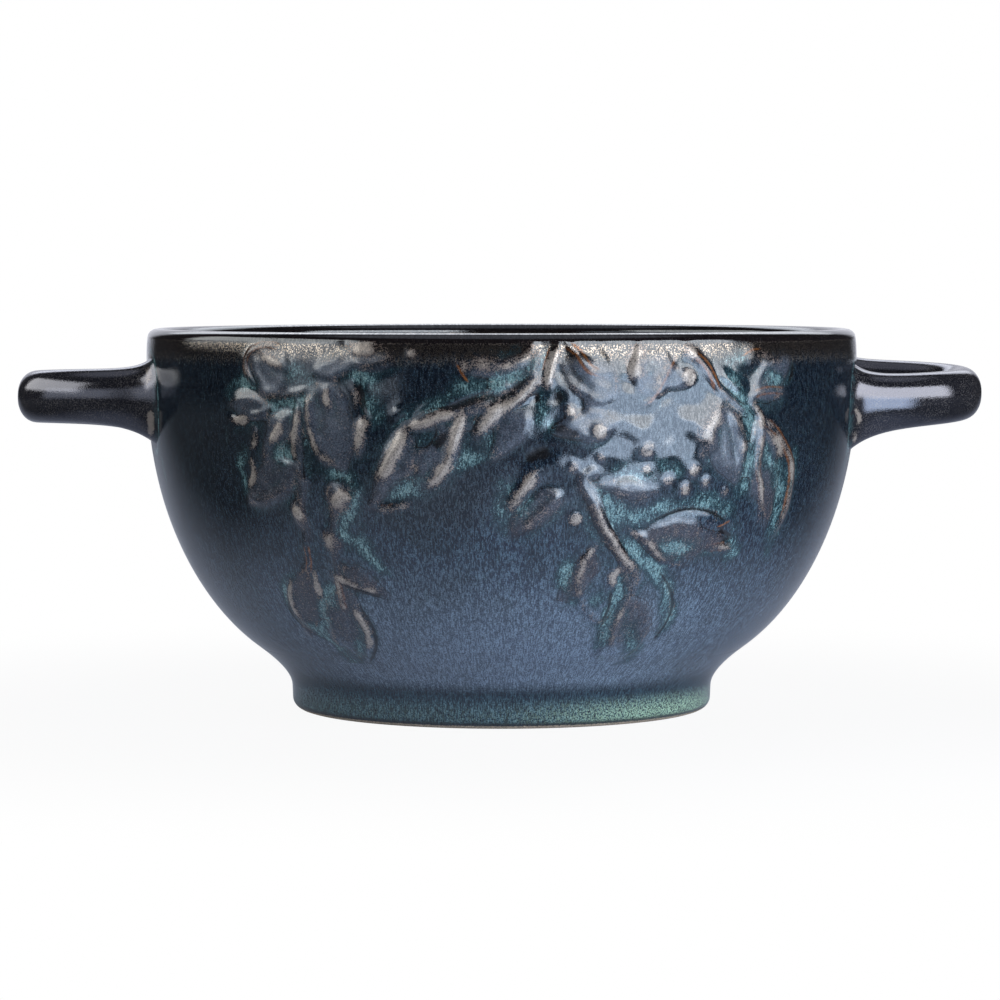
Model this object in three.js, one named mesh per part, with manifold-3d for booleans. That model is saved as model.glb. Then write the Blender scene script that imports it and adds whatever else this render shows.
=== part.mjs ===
// Two-handled soup cup in glazed stoneware, put together as a potter does it: a bowl of three turned
// sections, a foot ring luted under its floor, two loop handles luted to the wall, and leaf sprigs pressed
// one by one and luted on to both faces. Every luted joint is a thin gap of slip.
// Millimetres, +Z up. The origin is the middle of the foot's resting face. The front faces -Y and the
// handles lie along X.
import * as THREE from 'three';
import { mergeVertices } from 'three/addons/utils/BufferGeometryUtils.js';
import Module from 'manifold-3d';

const wasm = await Module();
wasm.setup();

// Bowl
const rimRadius = 70; // outside of the wall at the lip
const cupHeight = 75; // table to the top of the lip
const wallThickness = 4.2;
const lipRise = 1.7; // height of the rounded lip above the straight wall
const bellyHeight = 64.8; // where the straight wall starts to curve in
const floorRadius = 31.8; // flat part of the floor
const floorThickness = 5;
const wallJointShare = 0.54; // where the upper wall sits on the belly, as a share of the belly's height
const slipJoint = 0.3; // slip between two luted pieces

// Foot ring
const footHeight = 7; // table to the underside of the bowl's floor
const footRadius = 41.4; // outside of the foot above its rounded edge
const footThickness = 6; // bare resting face and rounded edge together
const footEdgeRound = 2.2;
const footDraft = 1.1; // the inside of the ring leans in by this much at its top
const flareReach = 3.6; // how far the foot's flare spreads out under the belly
const flareStart = 5.6; // height where the flare leaves the foot's side

// Handles: each is a loop that lies flat, with a finger hole
const handleReach = 95.4; // cup axis to the outside of the loop
const handleSpread = 14.2; // half the distance between the two arms where they meet the wall
const handleHeight = 10.2; // section of the loop, up and down
const handleThickness = 8.2; // section of the loop, in and out
const handleRoot = 6; // length of the arm sunk in before it is cut to the wall
const topFlare = 2.6; // growth of the arm at the wall, upwards
const topFlareLength = 2.4;
const underFlare = 3.8; // growth of the arm at the wall, downwards
const underFlareLength = 5;
const sideFlare = 2.2; // growth of the arm at the wall, to each side
const sideFlareLength = 2.6;

// The two loops were put on by hand: each has its own height and leans a little about its own reach
const rightHandleDrop = 12.8; // top of the lip to the middle of the loop
const leftHandleDrop = 13.4;
const handles = [
  { side: 'right', turn: 0, drop: rightHandleDrop, lean: 5 },
  { side: 'left', turn: 180, drop: leftHandleDrop, lean: 3 },
];

// Sprigs
const bladeHeight = 0.7; // leaf blade above its back
const edgeHeight = 1.0; // raised margin of a leaf
const ribHeight = 1.5; // midrib of a leaf
const stemHeight = 1.3;
const budCrown = 0.75; // height of a bud as a share of half its width
const toothDepth = 0.24; // share of a toothed leaf's width that is cut away between its teeth
const leafEndWidth = 0.1; // width of a leaf at its ends, as a share of its full width
const leafEndThickness = 0.55; // thickness there, as a share of that in the middle
const leafSkew = 0.76; // below 1 the leaf is widest nearer its base
const stemTaper = 0.4; // share of its width that a stem loses on the way
const budBlunt = 0.98; // the dome of a bud stops at this share of its half length
const stemSection = [0.35, 0.85, 1, 0.85, 0.35]; // heights across a stem, as shares of its own
const budSection = [0.3, 0.85, 1, 0.85, 0.3];
const wallParts = 84.7; // the foliage is laid out on a wall divided into so many parts

// Fineness of the facets
const turnSteps = 56;
const bellySteps = 12;
const insideSteps = 7;
const lipSteps = 6;
const footSteps = 3;
const handleRings = 20;
const handleSides = 12;
const leafRings = 6;
const budRings = 4;
const stemRings = 7;

const radians = THREE.MathUtils.degToRad;
const point = (radius, height) => new THREE.Vector2(radius, height);

// Outside of the wall, from the lower edge of the lip down to the middle of the underside
const lipEdge = cupHeight - lipRise;
const bellyArc = new THREE.EllipseCurve(
  floorRadius, bellyHeight,
  rimRadius - floorRadius, bellyHeight - footHeight,
  0, -Math.PI / 2, true,
);
const outerWall = new THREE.CurvePath();
outerWall.add(new THREE.LineCurve(point(rimRadius, lipEdge), point(rimRadius, bellyHeight)));
outerWall.add(bellyArc);
const wallLength = outerWall.getLength();
const wallPart = wallLength / wallParts;

// Radius, height and outward normal of the wall at a distance below the lip, measured along the wall
function wallAt(drop) {
  const share = drop / wallLength;
  const place = outerWall.getPoint(share);
  const downwards = outerWall.getTangent(share);
  return { radius: place.x, height: place.y, out: -downwards.y, up: downwards.x };
}

// A point on the wall or lifted off it. The turn is in radians from the front, towards +X.
function wallPoint(turn, drop, lift) {
  const wall = wallAt(drop);
  const radius = wall.radius + wall.out * lift;
  return new THREE.Vector3(
    radius * Math.sin(turn), -radius * Math.cos(turn), wall.height + wall.up * lift,
  );
}

// The place reached by going across and down the wall, in parts of its length
function walk(place, across, down) {
  const fall = down * wallPart;
  const radius = wallAt(place.drop + fall / 2).radius;
  return { turn: place.turn + (across * wallPart) / radius, drop: place.drop + fall };
}

// A body of revolution about Z from a profile of radius and height
function revolve(profile) {
  return new THREE.LatheGeometry(profile, turnSteps).rotateX(Math.PI / 2);
}

// A closed skin over a row of closed sections, each turning the same way
function loft(sections) {
  const sides = sections[0].length;
  const corners = [];
  const triangle = (...places) => places.forEach(([row, side]) => {
    corners.push(...sections[row][side % sides].toArray());
  });
  for (let row = 0; row + 1 < sections.length; row++) {
    for (let side = 0; side < sides; side++) {
      triangle([row, side], [row + 1, side], [row + 1, side + 1]);
      triangle([row, side], [row + 1, side + 1], [row, side + 1]);
    }
  }
  const last = sections.length - 1;
  for (let side = 1; side + 1 < sides; side++) {
    triangle([0, 0], [0, side], [0, side + 1]);
    triangle([last, 0], [last, side + 1], [last, side]);
  }
  return new THREE.BufferGeometry().setAttribute('position', new THREE.Float32BufferAttribute(corners, 3));
}

// Solids for joining and cutting, and back
function solidOf(geometry) {
  const bare = new THREE.BufferGeometry().setAttribute('position', geometry.getAttribute('position'));
  if (geometry.index) bare.setIndex(geometry.index);
  const merged = mergeVertices(bare, 1e-3);
  const isFlat = (a, b, c) => a === b || b === c || c === a;
  const triVerts = [];
  for (let i = 0; i < merged.index.count; i += 3) {
    const corners = [0, 1, 2].map((k) => merged.index.getX(i + k));
    if (!isFlat(...corners)) triVerts.push(...corners);
  }
  return new wasm.Manifold(new wasm.Mesh({
    numProp: 3,
    vertProperties: new Float32Array(merged.getAttribute('position').array),
    triVerts: new Uint32Array(triVerts),
  }));
}

function geometryOf(solid) {
  const mesh = solid.getMesh();
  const geometry = new THREE.BufferGeometry();
  geometry.setAttribute('position', new THREE.Float32BufferAttribute(mesh.vertProperties, 3));
  geometry.setIndex(new THREE.Uint32BufferAttribute(mesh.triVerts, 1));
  return geometry.toNonIndexed();
}

const join = (geometries) => geometryOf(geometries.map(solidOf).reduce((all, next) => all.add(next)));

// Bowl: the outside, the rounded lip, and an inside that follows the outside at the wall's thickness. It
// is turned in three sections: a flat floor, the belly round it, and the upper wall.
function bowlSections() {
  const lip = new THREE.EllipseCurve(
    rimRadius - wallThickness / 2, lipEdge, wallThickness / 2, lipRise, 0, Math.PI,
  );
  const inside = new THREE.EllipseCurve(
    floorRadius, bellyHeight,
    rimRadius - wallThickness - floorRadius, bellyHeight - footHeight - floorThickness,
    0, -Math.PI / 2, true,
  );
  const whole = solidOf(revolve([
    point(0, footHeight),
    ...bellyArc.getPoints(bellySteps).reverse(),
    ...lip.getPoints(lipSteps),
    ...inside.getPoints(insideSteps),
    point(0, footHeight + floorThickness),
  ]));
  const plug = (radius) => solidOf(revolve([
    point(0, 0), point(radius, 0), point(radius, cupHeight), point(0, cupHeight),
  ]));
  const joint = footHeight + (bellyHeight - footHeight) * wallJointShare;
  const lower = whole.trimByPlane([0, 0, -1], slipJoint - joint);
  return {
    bowl_floor: geometryOf(lower.intersect(plug(floorRadius))),
    bowl_belly: geometryOf(lower.subtract(plug(floorRadius + slipJoint))),
    bowl_wall: geometryOf(whole.trimByPlane([0, 0, 1], joint)),
  };
}

// Everything inside the outside of the wall, grown by the slip of a luted joint
function wallEnvelope() {
  const outside = [];
  for (let step = bellySteps; step >= 0; step--) {
    const place = bellyArc.getPoint(step / bellySteps);
    const down = bellyArc.getTangent(step / bellySteps);
    outside.push(point(place.x - down.y * slipJoint, place.y + down.x * slipJoint));
  }
  return revolve([
    point(0, footHeight - slipJoint),
    ...outside,
    point(rimRadius + slipJoint, cupHeight),
    point(0, cupHeight),
  ]);
}

// Foot ring: a bare resting face, a rounded edge, and a flare that seats under the belly
function footRing() {
  const outerSeat = footRadius + flareReach;
  const innerSeat = footRadius - footThickness - footDraft;
  const reachAngle = (radius) => Math.acos((radius - floorRadius) / (rimRadius - floorRadius));
  const [from, to] = [reachAngle(outerSeat), reachAngle(innerSeat)];
  const seat = [];
  for (let step = 0; step <= footSteps; step++) {
    const angle = from + (to - from) * (step / footSteps);
    const share = angle / (Math.PI / 2);
    const place = bellyArc.getPoint(share);
    const down = bellyArc.getTangent(share);
    seat.push(point(place.x - down.y * slipJoint, place.y + down.x * slipJoint));
  }
  const edge = new THREE.EllipseCurve(
    footRadius - footEdgeRound, footEdgeRound, footEdgeRound, footEdgeRound, -Math.PI / 2, 0,
  );
  const flare = new THREE.QuadraticBezierCurve(
    point(footRadius, flareStart),
    point(footRadius + slipJoint, flareStart + (seat[0].y - flareStart) / 2),
    seat[0],
  );
  const innerFoot = point(footRadius - footThickness, 0);
  const outside = [...edge.getPoints(footSteps), ...flare.getPoints(footSteps)];
  return revolve([innerFoot, ...outside, ...seat.slice(1), innerFoot]);
}

// Handle: an oval section swept round a half ellipse, swelling where it meets the wall and cut to it
function handle({ drop, lean }) {
  const root = rimRadius - handleRoot;
  const tip = handleReach - handleThickness / 2;
  const sections = [];
  for (let ring = 0; ring <= handleRings; ring++) {
    const angle = Math.PI * (ring / handleRings);
    const middle = new THREE.Vector3(
      root + (tip - root) * Math.sin(angle), -handleSpread * Math.cos(angle), 0,
    );
    const outwards = new THREE.Vector3(
      handleSpread * Math.sin(angle), -(tip - root) * Math.cos(angle), 0,
    ).normalize();
    const gap = Math.max(0, Math.hypot(middle.x, middle.y) - rimRadius);
    const top = handleHeight / 2 + topFlare * Math.exp(-gap / topFlareLength);
    const under = handleHeight / 2 + underFlare * Math.exp(-gap / underFlareLength);
    const side = handleThickness / 2 + sideFlare * Math.exp(-gap / sideFlareLength);
    const section = [];
    for (let step = 0; step < handleSides; step++) {
      const around = 2 * Math.PI * (step / handleSides);
      const rise = Math.sin(around) * (Math.sin(around) > 0 ? top : under);
      section.push(middle.clone().addScaledVector(outwards, side * Math.cos(around)).setZ(rise));
    }
    sections.push(section);
  }
  const loop = loft(sections).rotateX(radians(lean)).translate(0, 0, cupHeight - drop);
  return geometryOf(solidOf(loop).subtract(solidOf(wallEnvelope())));
}

// One section of a sprig: its front has five points from left to right, its back lies flat on the slip
function sprigSection(place, heading, halfWidth, heights) {
  const across = Math.cos(heading);
  const down = -Math.sin(heading);
  const at = (share, height) => {
    const side = walk(place, across * halfWidth * share, down * halfWidth * share);
    return wallPoint(side.turn, side.drop, slipJoint + height);
  };
  const front = [-1, -0.5, 0, 0.5, 1].map((share, i) => at(share, heights[i]));
  const back = [1, 0, -1].map((share) => at(share, 0));
  return [...front, ...back];
}

// A leaf from its base towards its heading, in degrees from straight down to the right. It bends by so
// many degrees on the way, and a toothed one has a ring at the tip and at the root of each tooth.
function leaf(base, { heading, length, width, bend = 0, teeth = 0 }) {
  const rings = teeth ? 2 * teeth + 2 : leafRings;
  const sections = [];
  let place = base;
  for (let ring = 0; ring <= rings; ring++) {
    const share = ring / rings;
    const way = radians(heading + bend * (share - 0.5));
    if (ring) place = walk(place, Math.sin(way) * (length / rings), Math.cos(way) * (length / rings));
    const fullness = leafEndWidth + (1 - leafEndWidth) * Math.sin(Math.PI * share ** leafSkew);
    const notch = teeth && ring % 2 === 0 ? 1 - toothDepth : 1;
    const thickness = leafEndThickness + (1 - leafEndThickness) * Math.sin(Math.PI * share);
    const [edge, blade, rib] = [edgeHeight, bladeHeight, ribHeight].map((height) => height * thickness);
    sections.push(sprigSection(place, way, (width / 2) * fullness * notch, [edge, blade, rib, blade, edge]));
  }
  return loft(sections);
}

// A half-round stem through points given across and down from its base, thinner towards its end
function stem(base, { points, width }) {
  const line = new THREE.SplineCurve(points.map(([across, down]) => point(across, down)));
  const sections = [];
  let place = walk(base, ...points[0]);
  for (let ring = 0; ring <= stemRings; ring++) {
    const share = ring / stemRings;
    const here = line.getPointAt(share);
    const before = line.getPointAt(Math.max(0, ring - 1) / stemRings);
    const way = line.getTangentAt(share);
    place = walk(place, here.x - before.x, here.y - before.y);
    const halfWidth = (width / 2) * (1 - stemTaper * share);
    const heights = stemSection.map((part) => part * stemHeight);
    sections.push(sprigSection(place, Math.atan2(way.x, way.y), halfWidth, heights));
  }
  return loft(sections);
}

// A bud or berry: a low dome, long along its heading
function bud(base, { at: [across, down], heading = 0, length, width }) {
  const way = radians(heading);
  const sections = [];
  for (let ring = 0; ring <= budRings; ring++) {
    const along = -Math.cos(Math.PI * (ring / budRings)) * budBlunt;
    const round = Math.sqrt(1 - along ** 2);
    const reach = along * (length / 2);
    const place = walk(base, across + Math.sin(way) * reach, down + Math.cos(way) * reach);
    const crown = (width / 2) * wallPart * round * budCrown;
    const heights = budSection.map((part) => part * crown);
    sections.push(sprigSection(place, way, (width / 2) * round, heights));
  }
  return loft(sections);
}

// Foliage of one face, in parts of the wall's length. A spray starts so many parts along the rim from the
// middle of the face and so many below the lip; its leaves, stem and buds go across and down from there.
const sprays = [
  {
    name: 'left_rosette',
    along: -41.2,
    drop: 9.8,
    leaves: [
      { at: [-1.9, -1.3], heading: -122, length: 12.6, width: 9.2, bend: 14 },
      { at: [-6.4, 2.8], heading: -95, length: 11, width: 5.4 },
      { at: [-1.9, 2.8], heading: -38, length: 11.6, width: 5, bend: -8 },
      { at: [-2.2, 11.4], heading: -54, length: 16.2, width: 7.2, bend: -16 },
      { at: [3.8, -2.4], heading: 18, length: 17.4, width: 9.8, bend: -16 },
      { at: [2.8, -4.2], heading: 104, length: 17, width: 5.2, bend: -12 },
    ],
    stem: {
      points: [[0, 0.2], [-0.7, 11], [-1.2, 19.3], [-1.8, 27], [-3.2, 32.2], [-4.2, 35.4]],
      width: 1.7,
    },
    buds: [{ at: [-2.4, 21.8], heading: -10, length: 5.4, width: 4 }],
    endLeaf: { at: [-4.1, 34.1], heading: -22, length: 17, width: 8.4, teeth: 3 },
  },
  {
    name: 'left_pendant',
    along: -38.9,
    drop: 43.8,
    leaves: [
      { at: [1.2, 1.8], heading: -8, length: 22.4, width: 9.6, teeth: 3 },
      { at: [2.8, -1.8], heading: 53, length: 11.3, width: 4 },
    ],
    stem: { points: [[4.1, -14.9], [2.6, -10], [1.7, -5.5], [1, 0.4]], width: 1.7 },
    buds: [
      { at: [4.4, -15.2], heading: 20, length: 6.4, width: 5 },
      { at: [1.9, -6.8], heading: 10, length: 5.2, width: 4 },
    ],
  },
  {
    name: 'branch',
    along: 0,
    drop: 8,
    leaves: [
      { at: [-18.4, 8.4], heading: -34, length: 17, width: 5.4 },
      { at: [-10.6, 6.6], heading: -30, length: 15, width: 5.8, bend: -10 },
      { at: [2.4, 4.2], heading: -38, length: 11.6, width: 5, bend: 12 },
    ],
    stem: { points: [[4.7, -6.4], [2.4, -2], [-4.5, 1.4], [-11.7, 4.1], [-18.8, 6.4]], width: 2.8 },
    buds: [
      { at: [-2.6, -3.4], heading: -84, length: 12, width: 3.2 },
      { at: [-5.2, 5], heading: -42, length: 8.4, width: 4 },
    ],
  },
  {
    name: 'right_rosette',
    along: 22.4,
    drop: 10.9,
    leaves: [
      { at: [-3.2, -1], heading: -120, length: 13.2, width: 8.2, bend: 12 },
      {
        at: [0.6, -1.4], heading: 148, length: 10.2, width: 9.4,
        bud: { at: [8.8, -4.3], length: 4.8, width: 4.2 },
      },
      { at: [-3, 3.2], heading: -82, length: 12.8, width: 6.2 },
      { at: [16.3, 1.2], heading: 25, length: 16.2, width: 8.2 },
    ],
    stem: { points: [[11.8, -9.2], [13.4, -6], [15.6, -3.4], [20, -0.2], [25.4, 2.6]], width: 2 },
  },
  {
    name: 'right_pendant',
    along: 47.2,
    drop: 13.8,
    leaves: [
      { at: [1.8, 1.4], heading: 22, length: 21.4, width: 9.8, teeth: 3 },
      { at: [0.8, -3], heading: 126, length: 13, width: 9.6, teeth: 2 },
    ],
  },
  {
    name: 'lower_spray',
    along: 15.2,
    drop: 27.5,
    leaves: [
      { at: [-0.2, 10.4], heading: -17, length: 12.8, width: 5.8, bend: -14 },
      { at: [10.2, 20.8], heading: 3, length: 20, width: 12.2, teeth: 3 },
      { at: [8.9, 8.9], heading: 88, length: 19.4, width: 10.2, teeth: 3 },
      { at: [1.2, -1.6], heading: 84, length: 11.6, width: 4, bend: 12 },
      { at: [-6.4, -0.8], heading: -46, length: 12.6, width: 6.6 },
    ],
    stem: { points: [[-2.5, -2], [0.1, 2.8], [5.6, 11.9], [8.6, 17], [9.1, 19.6]], width: 2.4 },
    buds: [{ at: [-2.6, -2.4], length: 3.2, width: 3 }],
  },
];

const glaze = { color: 0x24384a, roughness: 0.25, metalness: 0 };
const handleGlaze = { color: 0x22232c, roughness: 0.25, metalness: 0.1 };
const sprigGlaze = { color: 0x474a58, roughness: 0.35, metalness: 0.1 };
const footGlaze = { color: 0x2b4450, roughness: 0.3, metalness: 0 };

function piece(name, geometry, look) {
  const mesh = new THREE.Mesh(geometry, new THREE.MeshStandardMaterial(look));
  mesh.name = name;
  return mesh;
}

// All the sprigs of one face, each luted on by itself. Buds are pressed together with their stem or leaf,
// and so is the leaf that ends a stem.
function foliage(face) {
  const group = new THREE.Group();
  for (const spray of sprays) {
    const origin = { turn: (spray.along * wallPart) / rimRadius, drop: spray.drop * wallPart };
    spray.leaves.forEach((shape, i) => {
      const buds = shape.bud ? [bud(origin, shape.bud)] : [];
      const pressed = join([leaf(walk(origin, ...shape.at), shape), ...buds]);
      group.add(piece(`${face}_${spray.name}_leaf_${i + 1}`, pressed, sprigGlaze));
    });
    if (!spray.stem) continue;
    const pressed = [stem(origin, spray.stem), ...(spray.buds ?? []).map((shape) => bud(origin, shape))];
    if (spray.endLeaf) pressed.push(leaf(walk(origin, ...spray.endLeaf.at), spray.endLeaf));
    group.add(piece(`${face}_${spray.name}_stem`, join(pressed), sprigGlaze));
  }
  return group;
}

const cup = new THREE.Group();
for (const [name, section] of Object.entries(bowlSections())) cup.add(piece(name, section, glaze));
cup.add(piece('foot_ring', footRing(), footGlaze));
for (const loop of handles) {
  const mesh = piece(`${loop.side}_handle`, handle(loop), handleGlaze);
  mesh.rotation.z = radians(loop.turn);
  cup.add(mesh);
}
for (const [face, turn] of [['front', 0], ['back', 180]]) {
  const sprigs = foliage(face);
  sprigs.rotation.z = radians(turn);
  cup.add(sprigs);
}

export default cup;
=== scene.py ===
import math

import bpy
import numpy as np
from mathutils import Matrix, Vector, noise
from mathutils.bvhtree import BVHTree


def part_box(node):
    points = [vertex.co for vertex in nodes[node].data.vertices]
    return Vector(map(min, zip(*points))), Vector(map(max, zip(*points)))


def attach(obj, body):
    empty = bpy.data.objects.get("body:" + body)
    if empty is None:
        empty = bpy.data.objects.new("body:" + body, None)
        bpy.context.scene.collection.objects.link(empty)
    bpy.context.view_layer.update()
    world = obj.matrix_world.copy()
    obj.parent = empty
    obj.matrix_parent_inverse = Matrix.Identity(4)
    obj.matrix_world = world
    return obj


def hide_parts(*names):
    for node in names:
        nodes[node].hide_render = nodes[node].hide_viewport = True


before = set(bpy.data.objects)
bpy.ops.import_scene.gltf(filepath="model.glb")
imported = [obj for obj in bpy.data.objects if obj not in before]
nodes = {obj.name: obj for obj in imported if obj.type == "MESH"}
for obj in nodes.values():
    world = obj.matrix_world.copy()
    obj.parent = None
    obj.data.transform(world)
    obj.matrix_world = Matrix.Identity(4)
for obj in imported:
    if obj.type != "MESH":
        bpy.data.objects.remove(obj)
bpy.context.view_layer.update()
mm = 0.001
print("frame loaded:", len(nodes), "nodes")


# across and away from the viewer, at a radius and a turn from the front towards +X
def around(radius, turn):
    return radius * np.sin(turn), -radius * np.cos(turn)


# camera as in the photograph: a long lens a little above the rim
view = {"distance": 0.760, "height": 0.0857, "turn": -2.0, "tilt": -3.37, "lens": 138.2, "sensor": 36,
        "shift": -0.0015, "pixels": 1000, "near": 0.66, "far": 0.80, "steps": 1400}
viewTurn, viewTilt = math.radians(view["turn"]), math.radians(view["tilt"])
bpy.ops.object.camera_add(location=(*around(view["distance"], viewTurn), view["height"]),
                          rotation=(math.radians(90) + viewTilt, 0, viewTurn))
camera = bpy.context.object
camera.data.lens = view["lens"]
camera.data.sensor_width = view["sensor"]
camera.data.shift_x = view["shift"]
bpy.context.scene.camera = camera
bpy.context.scene.view_settings.view_transform = "Standard"


# shader nodes of one tree
class Net:
    def __init__(self, tree):
        self.tree = tree

    def put(self, value, socket):
        if isinstance(value, bpy.types.NodeSocket):
            self.tree.links.new(value, socket)
        else:
            socket.default_value = value

    def fill(self, sockets, values):
        for label, value in values.items():
            self.put(value, sockets[label])

    def node(self, kind, values=None, **settings):
        node = self.tree.nodes.new("ShaderNode" + kind)
        for name, value in settings.items():
            setattr(node, name, value)
        self.fill(node.inputs, values or {})
        return node

    def calc(self, operation, *values, clamp=False):
        node = self.node("Math", dict(enumerate(values)), operation=operation, use_clamp=clamp)
        return node.outputs[0]

    def times(self, result, *others):
        for other in others:
            result = self.calc("MULTIPLY", result, other)
        return result

    def plus(self, result, *others):
        for other in others:
            result = self.calc("ADD", result, other)
        return result

    def between(self, value, low, high, toLow=0.0, toHigh=1.0):
        limits = {"Value": value, "From Min": low, "From Max": high, "To Min": toLow, "To Max": toHigh}
        return self.node("MapRange", limits, interpolation_type="SMOOTHSTEP").outputs["Result"]

    def mix(self, share, *colors):
        node = self.node("Mix", {0: share}, data_type="RGBA")
        for index, color in zip((6, 7), colors):
            self.put(color if isinstance(color, bpy.types.NodeSocket) else (*color, 1), node.inputs[index])
        return node.outputs[2]

    def noise(self, vector, scale, detail=3.0, roughness=0.55, distortion=0.0):
        values = {"Vector": vector, "Scale": scale, "Detail": detail, "Roughness": roughness,
                  "Distortion": distortion}
        return self.node("TexNoise", values).outputs["Fac"]

    def place(self):
        return self.node("TexCoord").outputs["Object"]

    def split(self, vector):
        return self.node("SeparateXYZ", {0: vector}).outputs

    def join(self, *parts):
        return self.node("CombineXYZ", dict(enumerate(parts))).outputs[0]

    def length(self, vector):
        return self.node("VectorMath", {0: vector}, operation="LENGTH").outputs["Value"]

    def scaled(self, vector, scale):
        return self.node("VectorMath", {0: vector, "Scale": scale}, operation="SCALE").outputs[0]

    def group(self, group, **values):
        return self.node("Group", values, node_tree=group).outputs


def newGroup(name, inputs, outputs):
    group = bpy.data.node_groups.new(name, "ShaderNodeTree")
    for label, value in inputs.items():
        socket = group.interface.new_socket(label, in_out="INPUT", socket_type="NodeSocketFloat")
        socket.default_value = value
    for label in outputs:
        group.interface.new_socket(label, in_out="OUTPUT", socket_type="NodeSocketFloat")
    given, out = group.nodes.new("NodeGroupInput"), group.nodes.new("NodeGroupOutput")
    return Net(group), given.outputs, out.inputs


# running glaze: fine fur-like streaks that follow the wall downwards, and slow clouds
running = {"unrolled": 70.0, "leastRadius": 35 * mm, "finer": 2.6, "shorter": 3.4}


def makeRunGroup():
    net, given, out = newGroup("glazeRun", {"Across": 1.3, "Along": 0.16, "Cloud": 0.07},
                               ("Streak", "Fine", "Cloud", "Height", "Side"))
    place = net.place()
    x, y, z = net.split(place)
    flat = net.join(x, y)
    radius = net.calc("MAXIMUM", net.length(flat), running["leastRadius"])
    wide = net.split(net.scaled(flat, net.calc("DIVIDE", running["unrolled"], radius)))
    height = net.times(z, 1 / mm)

    def stretched(across, along):
        return net.join(net.times(wide[0], across), net.times(wide[1], across), net.times(height, along))

    narrow = stretched(net.times(given["Across"], running["finer"]),
                       net.times(given["Along"], running["shorter"]))
    net.fill(out, {
        "Streak": net.noise(stretched(given["Across"], given["Along"]), 1.0, 4.0, 0.6, 0.6),
        "Fine": net.noise(narrow, 1.0, 2.0, 0.6, 0.7),
        "Cloud": net.noise(place, net.times(given["Cloud"], 1 / mm), 3.0, 0.6, 0.4),
        "Height": height,
        "Side": net.calc("ABSOLUTE", net.calc("DIVIDE", wide[0], running["unrolled"])),
    })
    return net.tree


# iron speckle: small pale crystals scattered in the glaze
def makeSpeckleGroup():
    net, given, out = newGroup("ironSpeckle", {"Scale": 2200.0, "Amount": 0.5}, ("Speckle", "Grain"))
    place = net.place()
    cells = net.node("TexVoronoi", {"Vector": place, "Scale": given["Scale"]}).outputs
    tone = net.node("SeparateColor", {0: cells["Color"]}).outputs[0]
    chosen = net.calc("LESS_THAN", tone, given["Amount"])
    net.fill(out, {"Speckle": net.times(net.between(cells["Distance"], 0.42, 0.12), chosen),
                   "Grain": net.noise(place, net.times(given["Scale"], 0.7), 2.0, 0.7)})
    return net.tree


# what the relief does to the glaze: it runs off the ridges and lies deep beside them. The tan field also
# carries painted highlight on the crests, and the dark field carries painted shade in the slits, on steep
# flanks and round the sprigs
def makeReliefGroup():
    drawnLabels = ("Tan", "Amber", "Pool", "Raised", "Dark")
    net, given, out = newGroup("reliefBreak", {"Ragged": 0.5}, (*drawnLabels, "Curl"))
    place = net.place()
    rag = net.times(net.calc("SUBTRACT", net.noise(place, 900.0, 4.0, 0.7), 0.5), given["Ragged"])
    for label in drawnLabels:
        field = net.node("Attribute", attribute_name=label.lower()).outputs["Fac"]
        torn = net.times(rag, net.between(field, 0.0, 0.15))
        net.put(net.calc("ADD", field, torn, clamp=True), out[label])
    net.put(net.noise(place, 1900.0, 4.0, 0.65, 1.6), out["Curl"])
    return net.tree


runGroup = makeRunGroup()
speckleGroup = makeSpeckleGroup()
reliefGroup = makeReliefGroup()


def newMaterial(name):
    material = bpy.data.materials.new(name)
    material.use_nodes = True
    return material, Net(material.node_tree), material.node_tree.nodes["Principled BSDF"]


def gloss(net, shader, look, bumps, values):
    bump = net.node("Bump", {"Height": bumps, "Strength": look["bump"], "Distance": 0.2 * mm})
    tint = (*look["gleam"], 1)
    net.fill(shader.inputs, {"Normal": bump.outputs[0], "IOR": look["ior"], "Specular Tint": tint, **values})
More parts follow.
